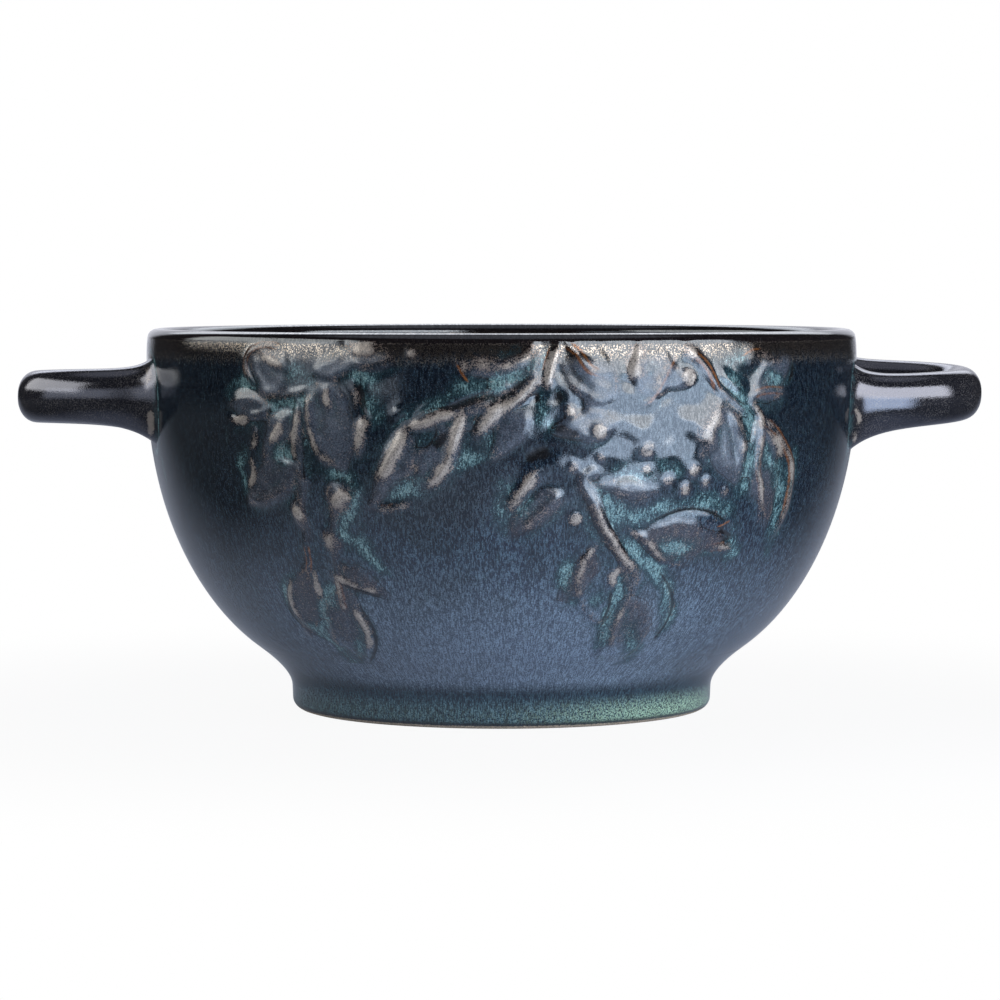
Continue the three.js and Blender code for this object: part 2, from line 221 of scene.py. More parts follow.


# blue running glaze: it pools to teal beside the relief and breaks to brown and tan on top of it. Its colours
# also carry painted light: a painted reflection of the white board low down, painted shade toward the sides
# and in the relief, and painted highlights on the crests
wallGlaze = {
    "deep": (0.0022, 0.0055, 0.012), "slate": (0.015, 0.022, 0.050), "fur": (0.095, 0.170, 0.245),
    # the first colour on the next line, a pale blue-grey, is a painted reflection of the white board
    "boardReflection": (0.240, 0.325, 0.440), "teal": (0.15, 0.29, 0.33), "foam": (0.34, 0.50, 0.50),
    "shoal": (0.018, 0.046, 0.060), "iron": (0.007, 0.004, 0.004), "violet": (0.080, 0.096, 0.132),
    "plum": (0.044, 0.036, 0.042), "amber": (0.27, 0.100, 0.022), "brown": (0.14, 0.110, 0.10),
    "tan": (0.47, 0.43, 0.395), "cream": (0.62, 0.55, 0.47), "footDeep": (0.006, 0.011, 0.021),
    "footTeal": (0.060, 0.120, 0.162), "moss": (0.30, 0.46, 0.345), "clay": (0.50, 0.41, 0.31),
    "ior": 1.85, "gleam": (0.79, 0.89, 1.0), "bump": 0.075, "coatRough": 0.06, "wornScale": 360.0,
    # heights above the table, in mm, from where an effect starts to where it is full
    "heights": {
        "thin": (60, 24), "boardReflection": (40, 12), "blade": (34, 58), "leafFur": (30, 52), "iron": (70, 74),
        "outside": (73.4, 72.6), "foot": (10, 6.5), "footStreak": (8.5, 3.5), "moss": (6.5, 2),
        "roll": (1.65, 0.85), "clay": (0.55, 0.30), "sparkle": (34, 46),
    },
    # the same for a noise, a drawn field or the share of the cup's half width
    "limits": {
        # the third pair on the next line is where the painted shade toward the left and right sides starts
        # and is full
        "fine": (0.46, 0.575), "cloud": (0.34, 0.66), "side": (0.40, 0.85), "worn": (0.34, 0.60),
        "raised": (0.2, 0.9), "leafFur": (0.48, 0.62), "streak": (0.54, 0.74), "fleck": (0.49, 0.60),
        "shoal": (0.05, 0.55), "wet": (0.55, 1.15), "pool": (0.10, 0.45), "foam": (0.98, 1.5),
        "edge": (0.30, 0.80), "crest": (0.40, 0.54), "pale": (0.35, 0.85), "footStreak": (0.42, 0.60),
        "mossSide": (-5 * mm, 34 * mm), "moss": (0.38, 0.58), "mottle": (0.3, 0.7),
        "sparkle": (0.44, 0.58), "sparkleSide": (0.85, 0.55),
    },
    # what an effect goes from and to, where that isn't none and all
    "ends": {
        # the second pair on the next line is painted shade: the wall's pale colours fall to under half toward
        # the left and right sides
        "thin": (0.08, 1.0), "side": (1.0, 0.46), "worn": (0.50, 0.97), "raised": (1.0, 0.35),
        "leafHeight": (0.2, 1.0), "footStreak": (0.35, 1.0), "mossSide": (0.12, 1.0), "mottle": (0.45, 1.55),
    },
    "shares": {
        "cloudFur": 0.42, "thinFur": 0.28, "leastFur": 0.11, "boardReflectionFibre": 0.42, "evenBoardReflection": 0.40,
        "leafFur": 0.28, "streak": 0.10, "ironRun": 3.0, "iron": 0.92, "fleck": 0.5, "shoal": 0.75,
        "curl": 2.2, "fibre": 1.8, "fibreMiddle": -2.0, "wet": 0.88, "foam": 0.65, "dark": 0.8, "amber": 0.7,
        "tear": 1.6, "crest": 0.85, "speckle": 0.10, "crestMetal": 0.3, "fleckMetal": 1.6, "roll": 0.8,
        "clayEdge": -0.4, "crestRough": 0.26, "grainRough": 0.06, "clayRough": 0.6, "leafRough": 0.17,
        "leastRough": 0.02, "lipBump": 5.0, "leafBump": 3.5, "fibreBump": 0.5,
        "sparkleFibre": 0.6, "sparkleGrain": 0.4,
    },
}


def makeWallGlaze():
    look, ends, part = wallGlaze, wallGlaze["ends"], wallGlaze["shares"]
    material, net, shader = newMaterial("wallGlaze")
    run = net.group(runGroup, Across=1.25, Along=0.28, Cloud=0.055)
    speckle = net.group(speckleGroup, Scale=5200.0, Amount=0.4)
    relief = net.group(reliefGroup, Ragged=0.8)
    place, height, grain = net.place(), run["Height"], speckle["Grain"]
    raised, pool = relief["Raised"], relief["Pool"]

    def at(name, *to, level=height):
        return net.between(level, *look["heights"][name], *to)

    def limit(value, name, *to):
        return net.between(value, *look["limits"][name], *to)

    def share(value, name):
        return net.times(value, part[name])

    # fur over a dark ground, more of it further down and less toward the left and right sides as painted
    # shade, a painted reflection of the white board on the lower belly, and duller on the leaves
    fine = limit(run["Fine"], "fine")
    # painted shade: this mask, which grows further down, falls to under half toward the left and right sides
    # of the cup and so darkens them
    thin = net.times(at("thin", *ends["thin"]), limit(run["Side"], "side", *ends["side"]))
    cloudy = net.times(limit(run["Cloud"], "cloud"), thin)
    base = net.mix(cloudy, look["deep"], look["slate"])
    worn = limit(net.noise(place, look["wornScale"], 3.0, 0.6, 0.8), "worn", *ends["worn"])
    base = net.mix(net.times(raised, worn), base, net.mix(at("blade"), look["plum"], look["violet"]))
    offLeaves = limit(raised, "raised", *ends["raised"])
    furry = net.plus(share(cloudy, "cloudFur"), share(thin, "thinFur"), part["leastFur"])
    curly = limit(relief["Curl"], "leafFur")
    leafFur = net.times(share(raised, "leafFur"), curly, at("leafFur", *ends["leafHeight"]))
    base = net.mix(net.calc("MAXIMUM", net.times(fine, furry, offLeaves), leafFur), base, look["fur"])
    # painted reflection of the white board under the cup, on the lower belly and broken up by the glaze's
    # fibres
    boardReflectionShare = net.plus(share(fine, "boardReflectionFibre"), part["evenBoardReflection"])
    base = net.mix(net.times(at("boardReflection"), boardReflectionShare, thin, offLeaves), base, look["boardReflection"])
    base = net.mix(share(limit(run["Streak"], "streak"), "streak"), base, look["teal"])
    # iron-brown lip, flecked on its outside
    lip = at("iron", level=net.plus(height, share(run["Streak"], "ironRun")))
    base = net.mix(share(lip, "iron"), base, look["iron"])
    outside = net.times(lip, at("outside"))
    flecks = net.times(outside, limit(grain, "fleck"))
    base = net.mix(share(flecks, "fleck"), base, look["cream"])
    # pools with fibres along their edges
    base = net.mix(share(limit(pool, "shoal"), "shoal"), base, look["shoal"])
    fibres = net.plus(share(relief["Curl"], "curl"), share(run["Fine"], "fibre"), part["fibreMiddle"])
    curled = net.plus(pool, fibres)
    wet = net.times(limit(curled, "wet"), limit(pool, "pool"))
    base = net.mix(share(wet, "wet"), base, look["teal"])
    base = net.mix(share(limit(curled, "foam"), "foam"), base, look["foam"])
    # dark edges, which are painted shade, amber edges, and tan where the glaze runs off the crests, which is
    # partly painted highlight where the drawn crests catch the lamps
    base = net.mix(share(limit(relief["Dark"], "edge"), "dark"), base, look["iron"])
    base = net.mix(share(limit(relief["Amber"], "edge"), "amber"), base, look["amber"])
    torn = net.plus(relief["Tan"], share(net.calc("SUBTRACT", grain, 0.5), "tear"))
    crest = limit(torn, "crest")
    broken = net.mix(limit(relief["Tan"], "pale"), look["brown"], look["tan"])
    base = net.mix(share(crest, "crest"), base, broken)
    base = net.mix(share(speckle["Speckle"], "speckle"), base, look["tan"])
    # foot: mottled, mossy near the table, bare where it stands
    streaked = net.times(limit(run["Fine"], "footStreak"), at("footStreak", *ends["footStreak"]))
    rightSide = limit(net.split(place)[0], "mossSide", *ends["mossSide"])
    mossy = net.times(rightSide, at("moss"), limit(grain, "moss"))
    footBase = net.mix(mossy, net.mix(streaked, look["footDeep"], look["footTeal"]), look["moss"])
    base = net.mix(at("foot"), base, footBase)
    base = net.mix(share(at("roll"), "roll"), base, look["iron"])
    bare = at("clay", level=net.plus(height, share(run["Streak"], "clayEdge")))
    base = net.mix(bare, base, look["clay"])
    rough = net.plus(share(crest, "crestRough"), share(grain, "grainRough"), share(bare, "clayRough"),
                     share(raised, "leafRough"), part["leastRough"])
    coarse = net.plus(net.calc("MAXIMUM", share(outside, "lipBump"), share(raised, "leafBump")), 1.0)
    bumps = net.plus(share(run["Fine"], "fibreBump"), net.times(grain, coarse))
    # fine crystals under the gloss, which break up the lamps' reflections on the upper wall
    crystals = limit(net.plus(share(run["Fine"], "sparkleFibre"), share(grain, "sparkleGrain")), "sparkle")
    sparkle = net.times(crystals, at("sparkle"), limit(run["Side"], "sparkleSide"))
    metal = net.calc("MAXIMUM", share(crest, "crestMetal"), share(flecks, "fleckMetal"), clamp=True)
    mottled = net.scaled(base, limit(grain, "mottle", *ends["mottle"]))
    gloss(net, shader, look, bumps, {"Base Color": mottled, "Roughness": rough, "Metallic": metal,
                                     "Coat Weight": sparkle, "Coat Roughness": look["coatRough"]})
    return material


# black-blue glaze of the handles, full of fine grey speckle
handleGlaze = {
    "night": (0.009, 0.010, 0.016), "grey": (0.42, 0.41, 0.42), "tan": (0.33, 0.30, 0.28),
    "teal": (0.04, 0.10, 0.12), "ior": 2.25, "gleam": (0.80, 0.84, 1.0), "bump": 0.10,
    "cloud": (0.4, 0.7), "grain": (0.50, 0.63), "pool": (0.35, 0.6), "crest": (0.40, 0.62),
    "cloudGrey": 0.30, "leastGrey": 0.12, "grainRough": 0.12, "leastRough": 0.03,
}


def makeHandleGlaze():
    look = handleGlaze
    material, net, shader = newMaterial("handleGlaze")
    grain = net.group(speckleGroup, Scale=5600.0)["Grain"]
    run = net.group(runGroup, Across=0.9, Along=0.5, Cloud=0.12)
    relief = net.group(reliefGroup, Ragged=0.9)
    cloudy = net.times(net.between(run["Cloud"], *look["cloud"]), look["cloudGrey"])
    grey = net.times(net.between(grain, *look["grain"]), net.plus(cloudy, look["leastGrey"]))
    base = net.mix(grey, look["night"], look["grey"])
    wet = net.times(relief["Pool"], net.between(run["Streak"], *look["pool"]))
    base = net.mix(wet, base, look["teal"])
    torn = net.plus(relief["Tan"], net.calc("SUBTRACT", grain, 0.5))
    base = net.mix(net.between(torn, *look["crest"]), base, look["tan"])
    rough = net.plus(net.times(grain, look["grainRough"]), look["leastRough"])
    gloss(net, shader, look, grain, {"Base Color": base, "Roughness": rough, "Metallic": grey})
    return material


wallMaterial = makeWallGlaze()
handleMaterial = makeHandleGlaze()
print("glazes mixed")

# the bowl's section, from the frame's own sizes
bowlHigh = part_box("bowl_wall")[1]
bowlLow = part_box("bowl_floor")[0]
bowl = {
    "rim": bowlHigh[0], "top": bowlHigh[2], "under": bowlLow[2],
    "belly": 64.8 * mm, "floorRadius": 31.8 * mm, "wall": 4.2 * mm, "floor": 5 * mm, "lipRise": 1.7 * mm,
    "columns": 576, "rows": 118, "finer": 3, "insideRows": 34, "lipRows": 9, "floorRings": (0.75, 0.5, 0.25),
    "tucked": 0.25 * mm,
}
lipEdge = bowl["top"] - bowl["lipRise"]
bellyWide = bowl["rim"] - bowl["floorRadius"]
bellyDeep = bowl["belly"] - bowl["under"]


# the outside from the lip down: way along it, radius, height and the direction outwards
def outsideSection(count):
    swing = np.linspace(0, math.pi / 2, 4000)
    r = np.concatenate([[bowl["rim"]], bowl["floorRadius"] + bellyWide * np.cos(swing)])
    z = np.concatenate([[lipEdge], bowl["belly"] - bellyDeep * np.sin(swing)])
    along = np.concatenate([[0], np.cumsum(np.hypot(np.diff(r), np.diff(z)))])
    drop = np.linspace(0, along[-1], count)
    r, z = np.interp(drop, along, r), np.interp(drop, along, z)
    tr, tz = np.gradient(r, drop), np.gradient(z, drop)
    size = np.hypot(tr, tz)
    return drop, r, z, -tz / size, tr / size


def pick(piece):
    bpy.ops.object.select_all(action="DESELECT")
    piece.select_set(True)
    bpy.context.view_layer.objects.active = piece


# soft copies of the pressed sprigs, to feel their height from outside
def softSprigs(names):
    corners, faces, owners = [], [], []
    for index, name in enumerate(names):
        copy = nodes[name].copy()
        copy.data = nodes[name].data.copy()
        bpy.context.collection.objects.link(copy)
        pick(copy)
        bpy.ops.object.mode_set(mode="EDIT")
        bpy.ops.mesh.select_all(action="SELECT")
        bpy.ops.mesh.remove_doubles(threshold=0.01 * mm)
        bpy.ops.mesh.tris_convert_to_quads(face_threshold=math.radians(50), shape_threshold=math.radians(70))
        bpy.ops.object.mode_set(mode="OBJECT")
        soften = copy.modifiers.new("soften", "SUBSURF")
        soften.levels = soften.render_levels = 2
        bpy.ops.object.modifier_apply(modifier="soften")
        start = len(corners)
        corners += [v.co.copy() for v in copy.data.vertices]
        faces += [[start + k for k in p.vertices] for p in copy.data.polygons]
        owners += [index] * len(copy.data.polygons)
        bpy.data.objects.remove(copy)
    return BVHTree.FromPolygons(corners, faces), owners


# relief drawn over the pressed sprigs, on two sheets laid over the front as the camera sees it.
# a sheet starts at a corner in the picture, and its points are in steps of a quarter pixel
sheetStep = 0.25
sheetCorners = {"left": (140, 310), "right": (480, 310)}
# crests: width and height in mm, tan and amber shares. The tan share is tan glaze on the crest and partly
# painted highlight: it is highest on the crests that catch the lamps
crestLines = {"left": [
    (1.2, 0.6, 0.5, 0.6, [(455, 300), (425, 260), (415, 210), (432, 165), (475, 140), (530, 142),
        (575, 168)]),
    (1.8, 0.35, 0.85, 0.1, [(478, 172), (520, 200), (562, 228)]),
    (1.8, 0.3, 0.3, 0.2, [(470, 322), (530, 346), (600, 336), (668, 318)]),
    (2.2, 0.3, 0.3, 0.1, [(355, 362), (400, 342), (450, 352), (505, 384)]),
    (1.5, 0.5, 1.0, 0.0, [(350, 436), (390, 441), (428, 432)]),
    (1.2, 0.4, 0.3, 0.1, [(430, 430), (470, 416), (522, 390)]),
    (1.7, 0.5, 1.0, 0.0, [(562, 442), (546, 490), (512, 534)]),
    (1.4, 0.45, 0.7, 0.1, [(446, 470), (456, 506), (440, 552)]),
    (1.3, 0.65, 1.0, 0.0, [(628, 396), (616, 470), (609, 524), (612, 584)]),
    (1.3, 0.45, 0.45, 0.0, [(618, 620), (636, 660), (662, 690)]),
    (1.2, 0.55, 0.75, 0.2, [(668, 330), (664, 400), (674, 470), (692, 540), (724, 592), (782, 616)]),
    (1.4, 0.4, 0.8, 0.1, [(742, 304), (735, 350), (747, 396)]),
    (2.0, 0.6, 0.95, 0.1, [(884, 434), (874, 500), (858, 566)]),
    (1.4, 0.45, 0.5, 0.3, [(846, 300), (852, 350), (858, 410)]),
    (1.5, 0.45, 0.8, 0.1, [(436, 590), (450, 648), (430, 706)]),
    (1.6, 0.45, 0.35, 0.0, [(428, 728), (480, 768), (532, 746), (580, 720)]),
    (3.4, 0.5, 0.9, 0.0, [(842, 150), (886, 156), (932, 146)]),
    (2.8, 0.55, 0.4, 0.1, [(846, 204), (900, 224), (962, 206), (1014, 172)]),
    (1.6, 0.35, 0.2, 0.1, [(800, 690), (846, 706), (852, 750), (822, 796)]),
    (3.6, 0.6, 1.0, 0.0, [(818, 726), (798, 752), (768, 788)]),
    (2.2, 0.5, 1.0, 0.2, [(616, 788), (626, 810), (640, 836)]),
    (2.8, 0.5, 1.0, 0.1, [(742, 898), (754, 922), (766, 948)]),
    (1.0, 0.45, 0.35, 0.7, [(655, 930), (667, 996), (667, 1052)]),
    (1.3, 0.5, 0.85, 0.1, [(688, 1040), (702, 1100), (726, 1152)]),
    (1.4, 0.5, 0.8, 0.3, [(602, 1076), (595, 1130), (610, 1190), (638, 1228)]),
    (1.2, 0.35, 0.3, 0.2, [(640, 1222), (694, 1272)]),
    (1.2, 0.55, 0.7, 0.6, [(764, 1058), (794, 1110), (806, 1170), (816, 1194)]),
    (1.4, 0.45, 0.4, 0.2, [(764, 1246), (770, 1300), (792, 1334)]),
    (1.5, 0.55, 0.95, 0.2, [(850, 1188), (880, 1240), (906, 1292), (911, 1346)]),
    (1.3, 0.55, 0.8, 0.1, [(758, 1054), (830, 1086), (900, 1111), (948, 1118)]),
    (1.5, 0.35, 0.15, 0.1, [(948, 1116), (976, 1104), (958, 1062)]),
    (1.5, 0.35, 0.15, 0.0, [(800, 980), (870, 1006), (932, 1052)]),
    (2.4, 0.65, 1.0, 0.0, [(1052, 462), (1024, 540), (984, 616), (950, 676)]),
    (1.8, 0.6, 0.9, 0.1, [(1052, 462), (1120, 456), (1190, 428), (1246, 412)]),
    (2.2, 0.5, 0.1, 0.0, [(1000, 446), (1026, 404), (1062, 410)]),
    (1.6, 0.35, 0.6, 0.4, [(938, 790), (968, 796), (1010, 790), (1064, 774)]),
    (1.9, 0.65, 1.0, 0.1, [(1290, 400), (1270, 450), (1246, 520), (1230, 584), (1190, 650), (1148, 702)]),
    (1.8, 0.6, 0.7, 0.2, [(1392, 374), (1340, 386), (1290, 412)]),
    (1.9, 0.6, 0.95, 0.1, [(1436, 388), (1390, 440), (1336, 494)]),
    (3.4, 0.5, 0.55, 0.1, [(1258, 204), (1310, 220), (1380, 222), (1440, 236)]),
    (1.0, 0.4, 0.1, 0.9, [(1250, 206), (1278, 256), (1302, 290)]),
    (2.0, 0.5, 0.0, 0.0, [(1440, 296), (1370, 310), (1290, 334), (1230, 368), (1150, 404), (1080, 432)]),
], "right": [
    (2.0, 0.5, 0.6, 0.1, [(0, 256), (60, 238), (122, 212), (180, 180), (199, 130)]),
    (1.8, 0.6, 0.9, 0.0, [(302, 148), (274, 200), (262, 260), (258, 302)]),
    (1.9, 0.6, 0.9, 0.1, [(242, 276), (202, 290), (178, 324), (100, 382), (40, 402), (0, 452)]),
    (1.4, 0.45, 0.5, 0.8, [(332, 134), (382, 172), (420, 230), (474, 256)]),
    (1.2, 0.3, 0.3, 0.4, [(478, 150), (512, 190), (516, 240)]),
    (3.2, 0.55, 0.9, 0.0, [(640, 140), (612, 182), (602, 230), (622, 274)]),
    (2.2, 0.5, 0.8, 0.0, [(742, 204), (722, 252), (690, 302)]),
    (1.6, 0.4, 0.2, 0.75, [(772, 184), (742, 232), (714, 292), (680, 352), (640, 386)]),
    (2.6, 0.45, 0.9, 0.0, [(796, 146), (852, 190)]),
    (1.3, 0.55, 0.4, 0.9, [(830, 166), (882, 212), (912, 262), (936, 332)]),
    (4.0, 0.5, 0.75, 0.0, [(942, 366), (920, 424), (892, 484), (880, 566)]),
    (2.0, 0.5, 0.85, 0.1, [(992, 424), (1030, 480), (1036, 534), (1030, 604)]),
    (1.4, 0.6, 0.9, 0.5, [(1070, 362), (1104, 422), (1110, 484), (1096, 560), (1090, 644), (1104, 724),
        (1104, 834)]),
    (1.6, 0.6, 0.7, 0.7, [(1120, 436), (1162, 480), (1200, 540), (1226, 604), (1226, 684), (1202, 800),
        (1160, 892)]),
    (2.8, 0.4, 0.8, 0.0, [(1132, 452), (1170, 520), (1192, 584)]),
    (4.4, 0.45, 0.5, 0.0, [(1042, 204), (1090, 186), (1140, 192), (1182, 214)]),
    (1.0, 0.35, 0.3, 0.9, [(1030, 190), (1072, 160), (1112, 154)]),
    (2.6, 0.5, 0.3, 0.2, [(940, 240), (990, 290), (1042, 322)]),
    (1.3, 0.4, 0.45, 0.6, [(1060, 342), (1130, 320), (1212, 324)]),
    (2.4, 0.6, 0.8, 0.1, [(216, 648), (180, 690), (142, 742), (110, 792)]),
    (1.8, 0.5, 0.5, 0.2, [(302, 744), (250, 792), (200, 842), (148, 888)]),
    (6.0, 0.4, 0.3, 0.1, [(510, 724), (580, 742), (676, 736)]),
    (1.9, 0.7, 0.75, 0.3, [(390, 708), (430, 762), (482, 862), (532, 942), (572, 1002), (612, 1052),
        (604, 1094), (588, 1136)]),
    (1.6, 0.55, 0.8, 0.1, [(452, 938), (400, 1002), (380, 1072), (386, 1146)]),
    (1.7, 0.5, 0.9, 0.0, [(546, 1028), (516, 1060), (514, 1104)]),
    (7.0, 0.4, 0.3, 0.1, [(724, 862), (800, 862), (880, 858), (950, 852)]),
    (1.6, 0.5, 0.7, 0.1, [(588, 878), (650, 922), (702, 986), (734, 1002)]),
    (1.6, 0.35, 0.4, 0.2, [(740, 1020), (790, 1012), (824, 1000)]),
    (1.6, 0.45, 0.6, 0.5, [(896, 950), (948, 944), (988, 952)]),
    (1.0, 0.35, 0.3, 0.8, [(930, 868), (968, 852), (990, 838)]),
    (1.4, 0.55, 0.7, 0.2, [(588, 1134), (556, 1180), (530, 1242), (512, 1300), (505, 1344)]),
    (6.0, 0.35, 0.15, 0.1, [(640, 1150), (668, 1222), (642, 1300)]),
    (1.2, 0.4, 0.5, 0.4, [(386, 1146), (424, 1212), (474, 1252)]),
]}
# slits: width and depth in mm, amber share. Each slit is also painted dark, as shade in the cut
slitLines = {"left": [
    (1.5, 0.45, 0.3, [(862, 286), (874, 340), (884, 390), (892, 426)]),
    (1.2, 0.35, 0.1, [(800, 124), (812, 142), (836, 142)]),
    (0.9, 0.3, 0.0, [(846, 1404), (880, 1436), (908, 1449)]),
    (2.2, 0.45, 0.0, [(1216, 488), (1188, 528), (1162, 546)]),
    (1.2, 0.4, 0.5, [(1362, 416), (1336, 452), (1320, 478)]),
    # the next slit runs under the branch; its dark is painted shade on the branch's underside
    (1.5, 0.5, 0.2, [(1440, 352), (1380, 346), (1262, 386), (1180, 412), (1082, 446)]),
    (0.9, 0.25, 0.4, [(862, 1176), (898, 1230), (926, 1290), (932, 1350), (905, 1420)]),
    (0.9, 0.25, 0.3, [(770, 1076), (850, 1112), (920, 1140), (962, 1132)]),
    (0.9, 0.25, 0.4, [(594, 1080), (582, 1150), (598, 1216), (640, 1262), (690, 1292)]),
], "right": [
    (1.2, 0.45, 0.8, [(284, 146), (266, 200), (248, 264)]),
    (1.6, 0.5, 0.2, [(0, 386), (44, 366), (120, 318), (190, 268)]),
    (1.1, 0.35, 0.1, [(358, 136), (398, 168), (432, 190)]),
    (1.4, 0.5, 0.4, [(606, 122), (600, 162), (584, 204), (568, 240)]),
    (2.0, 0.4, 0.2, [(570, 274), (600, 304)]),
    (1.2, 0.4, 0.4, [(1238, 212), (1238, 250), (1222, 286)]),
    (0.9, 0.3, 0.0, [(522, 1452), (552, 1436), (576, 1420)]),
    (3.6, 0.35, 0.0, [(330, 196), (352, 268), (392, 296)]),
    (3.6, 0.45, 0.1, [(282, 332), (312, 372)]),
    (2.6, 0.45, 0.0, [(288, 470), (340, 490), (376, 506)]),
    (3.0, 0.45, 0.0, [(170, 602), (220, 576), (272, 568)]),
    (2.0, 0.4, 0.0, [(206, 330), (216, 374)]),
    (0.9, 0.25, 0.5, [(700, 1040), (740, 1100), (758, 1170), (738, 1240), (706, 1290), (664, 1344)]),
    (0.9, 0.25, 0.4, [(470, 1256), (502, 1190), (512, 1120)]),
    (0.9, 0.25, 0.5, [(676, 842), (760, 808), (840, 796), (920, 812), (975, 850)]),
    (1.1, 0.2, 0.35, [(975, 850), (952, 878), (986, 905), (952, 930), (992, 956)]),
]}
# pools: width in mm
poolLines = {"left": [
    # the next pool runs along the top of the branch; its teal is painted highlight on the branch's upper side
    (1.8, [(1440, 284), (1370, 302), (1290, 322), (1240, 350), (1180, 380), (1100, 410), (1030, 446)]),
    (2.0, [(500, 372), (560, 392), (610, 370), (690, 326)]),
    (1.6, [(336, 346), (380, 306), (470, 292)]),
    (2.2, [(850, 246), (892, 290), (922, 340), (930, 430)]),
    (2.0, [(820, 684), (852, 726), (846, 800), (800, 850), (870, 872)]),
    (2.2, [(776, 858), (850, 922), (922, 992), (974, 1066)]),
    (1.8, [(606, 1040), (584, 1100), (582, 1176)]),
    (2.4, [(772, 1110), (742, 1170), (730, 1240), (742, 1292)]),
    (1.8, [(640, 1236), (700, 1270), (770, 1334), (850, 1412), (912, 1452)]),
    (1.4, [(402, 556), (398, 640), (406, 724)]),
    (2.6, [(530, 566), (566, 592), (560, 626)]),
    (1.8, [(716, 636), (790, 664), (836, 694)]),
    (2.4, [(560, 240), (620, 262), (690, 262)]),
    (2.2, [(1010, 740), (1090, 700), (1130, 660)]),
    (2.4, [(1240, 640), (1290, 600), (1330, 590), (1420, 560)]),
    (1.6, [(880, 1250), (880, 1330), (870, 1400)]),
], "right": [
    (2.2, [(0, 330), (60, 300), (130, 270), (196, 222), (232, 190)]),
    (2.0, [(250, 356), (238, 424), (262, 504)]),
    (2.4, [(518, 640), (600, 650), (684, 682)]),
    (2.6, [(448, 676), (490, 770), (560, 832), (640, 832), (720, 792), (800, 770), (900, 776), (972, 802),
        (1002, 856)]),
    (2.0, [(988, 916), (1002, 960), (972, 1004)]),
    (2.4, [(578, 918), (640, 1012), (702, 1062), (732, 1112), (750, 1172), (736, 1244), (700, 1294)]),
    (2.2, [(566, 1076), (540, 1140), (512, 1202), (482, 1264), (468, 1336)]),
    (1.8, [(336, 990), (322, 1080), (352, 1156)]),
    (2.6, [(430, 1148), (470, 1184)]),
    (2.4, [(602, 1266), (592, 1340), (580, 1404)]),
    (2.2, [(96, 676), (60, 762), (82, 856)]),
    (2.4, [(118, 836), (180, 802), (236, 768)]),
    (2.6, [(1042, 466), (1062, 560), (1050, 652), (1020, 744)]),
    (2.2, [(1132, 560), (1162, 652), (1182, 760), (1152, 902), (1130, 984)]),
    (1.8, [(1242, 556), (1232, 662), (1216, 750)]),
    (2.4, [(946, 204), (1000, 192), (1044, 170)]),
    (2.4, [(1120, 268), (1190, 292)]),
    (2.2, [(940, 240), (1010, 320), (1062, 392), (1080, 460)]),
    (2.4, [(720, 940), (780, 950), (860, 930)]),
    (2.0, [(700, 620), (770, 640), (800, 620)]),
]}

# berries and buds on the same sheets: place, size in mm and tan share. loose ones are pieces of their own
berries = {
    "loose": [("right", 465, 485, 3.2, 0.8), ("right", 350, 405, 2.2, 0.7), ("right", 655, 560, 3.2, 0.8),
              ("right", 655, 637, 2.2, 0.7), ("right", 365, 630, 2.2, 0.6), ("right", 470, 587, 1.9, 0.6),
              ("right", 440, 652, 2.4, 0.6), ("right", 740, 682, 2.2, 0.6), ("right", 845, 642, 2.8, 0.7),
              ("right", 810, 716, 2.6, 0.7), ("right", 890, 690, 2.0, 0.5), ("right", 965, 725, 1.9, 0.5),
              ("left", 1076, 172, 2.2, 0.6)],
    "pressed": [("right", 365, 835, 3.2, 0.75), ("right", 820, 268, 3.8, 0.8)],
    "crown": 0.09,  # height as a share of the size
    "rise": 0.06 * mm, "tanFull": 2.2,
}
# across a drawn line, in half widths: sharpness, or the middle and width of a band
profile = {"body": 1.2, "tanCore": (0.6, 1.3), "tanHalo": (0.4, 0.4), "tanCrest": 0.3,
           "crestAmber": (0.9, 0.6), "slitAmber": (1.2, 0.4), "pool": (0, 1.5), "poolShare": 0.80,
           "fade": 0.2, "endShare": 0.45}
# how far drawn lines stray, with the size of the bends and their start in the noise
straying = {"pool": [(0.9 * mm, 3.0, (6, 2, 8)), (0.5 * mm, 1.1, (1, 4, 3))],
            "tan": [(0.35 * mm, 1.3, (5, 9, 1))]}
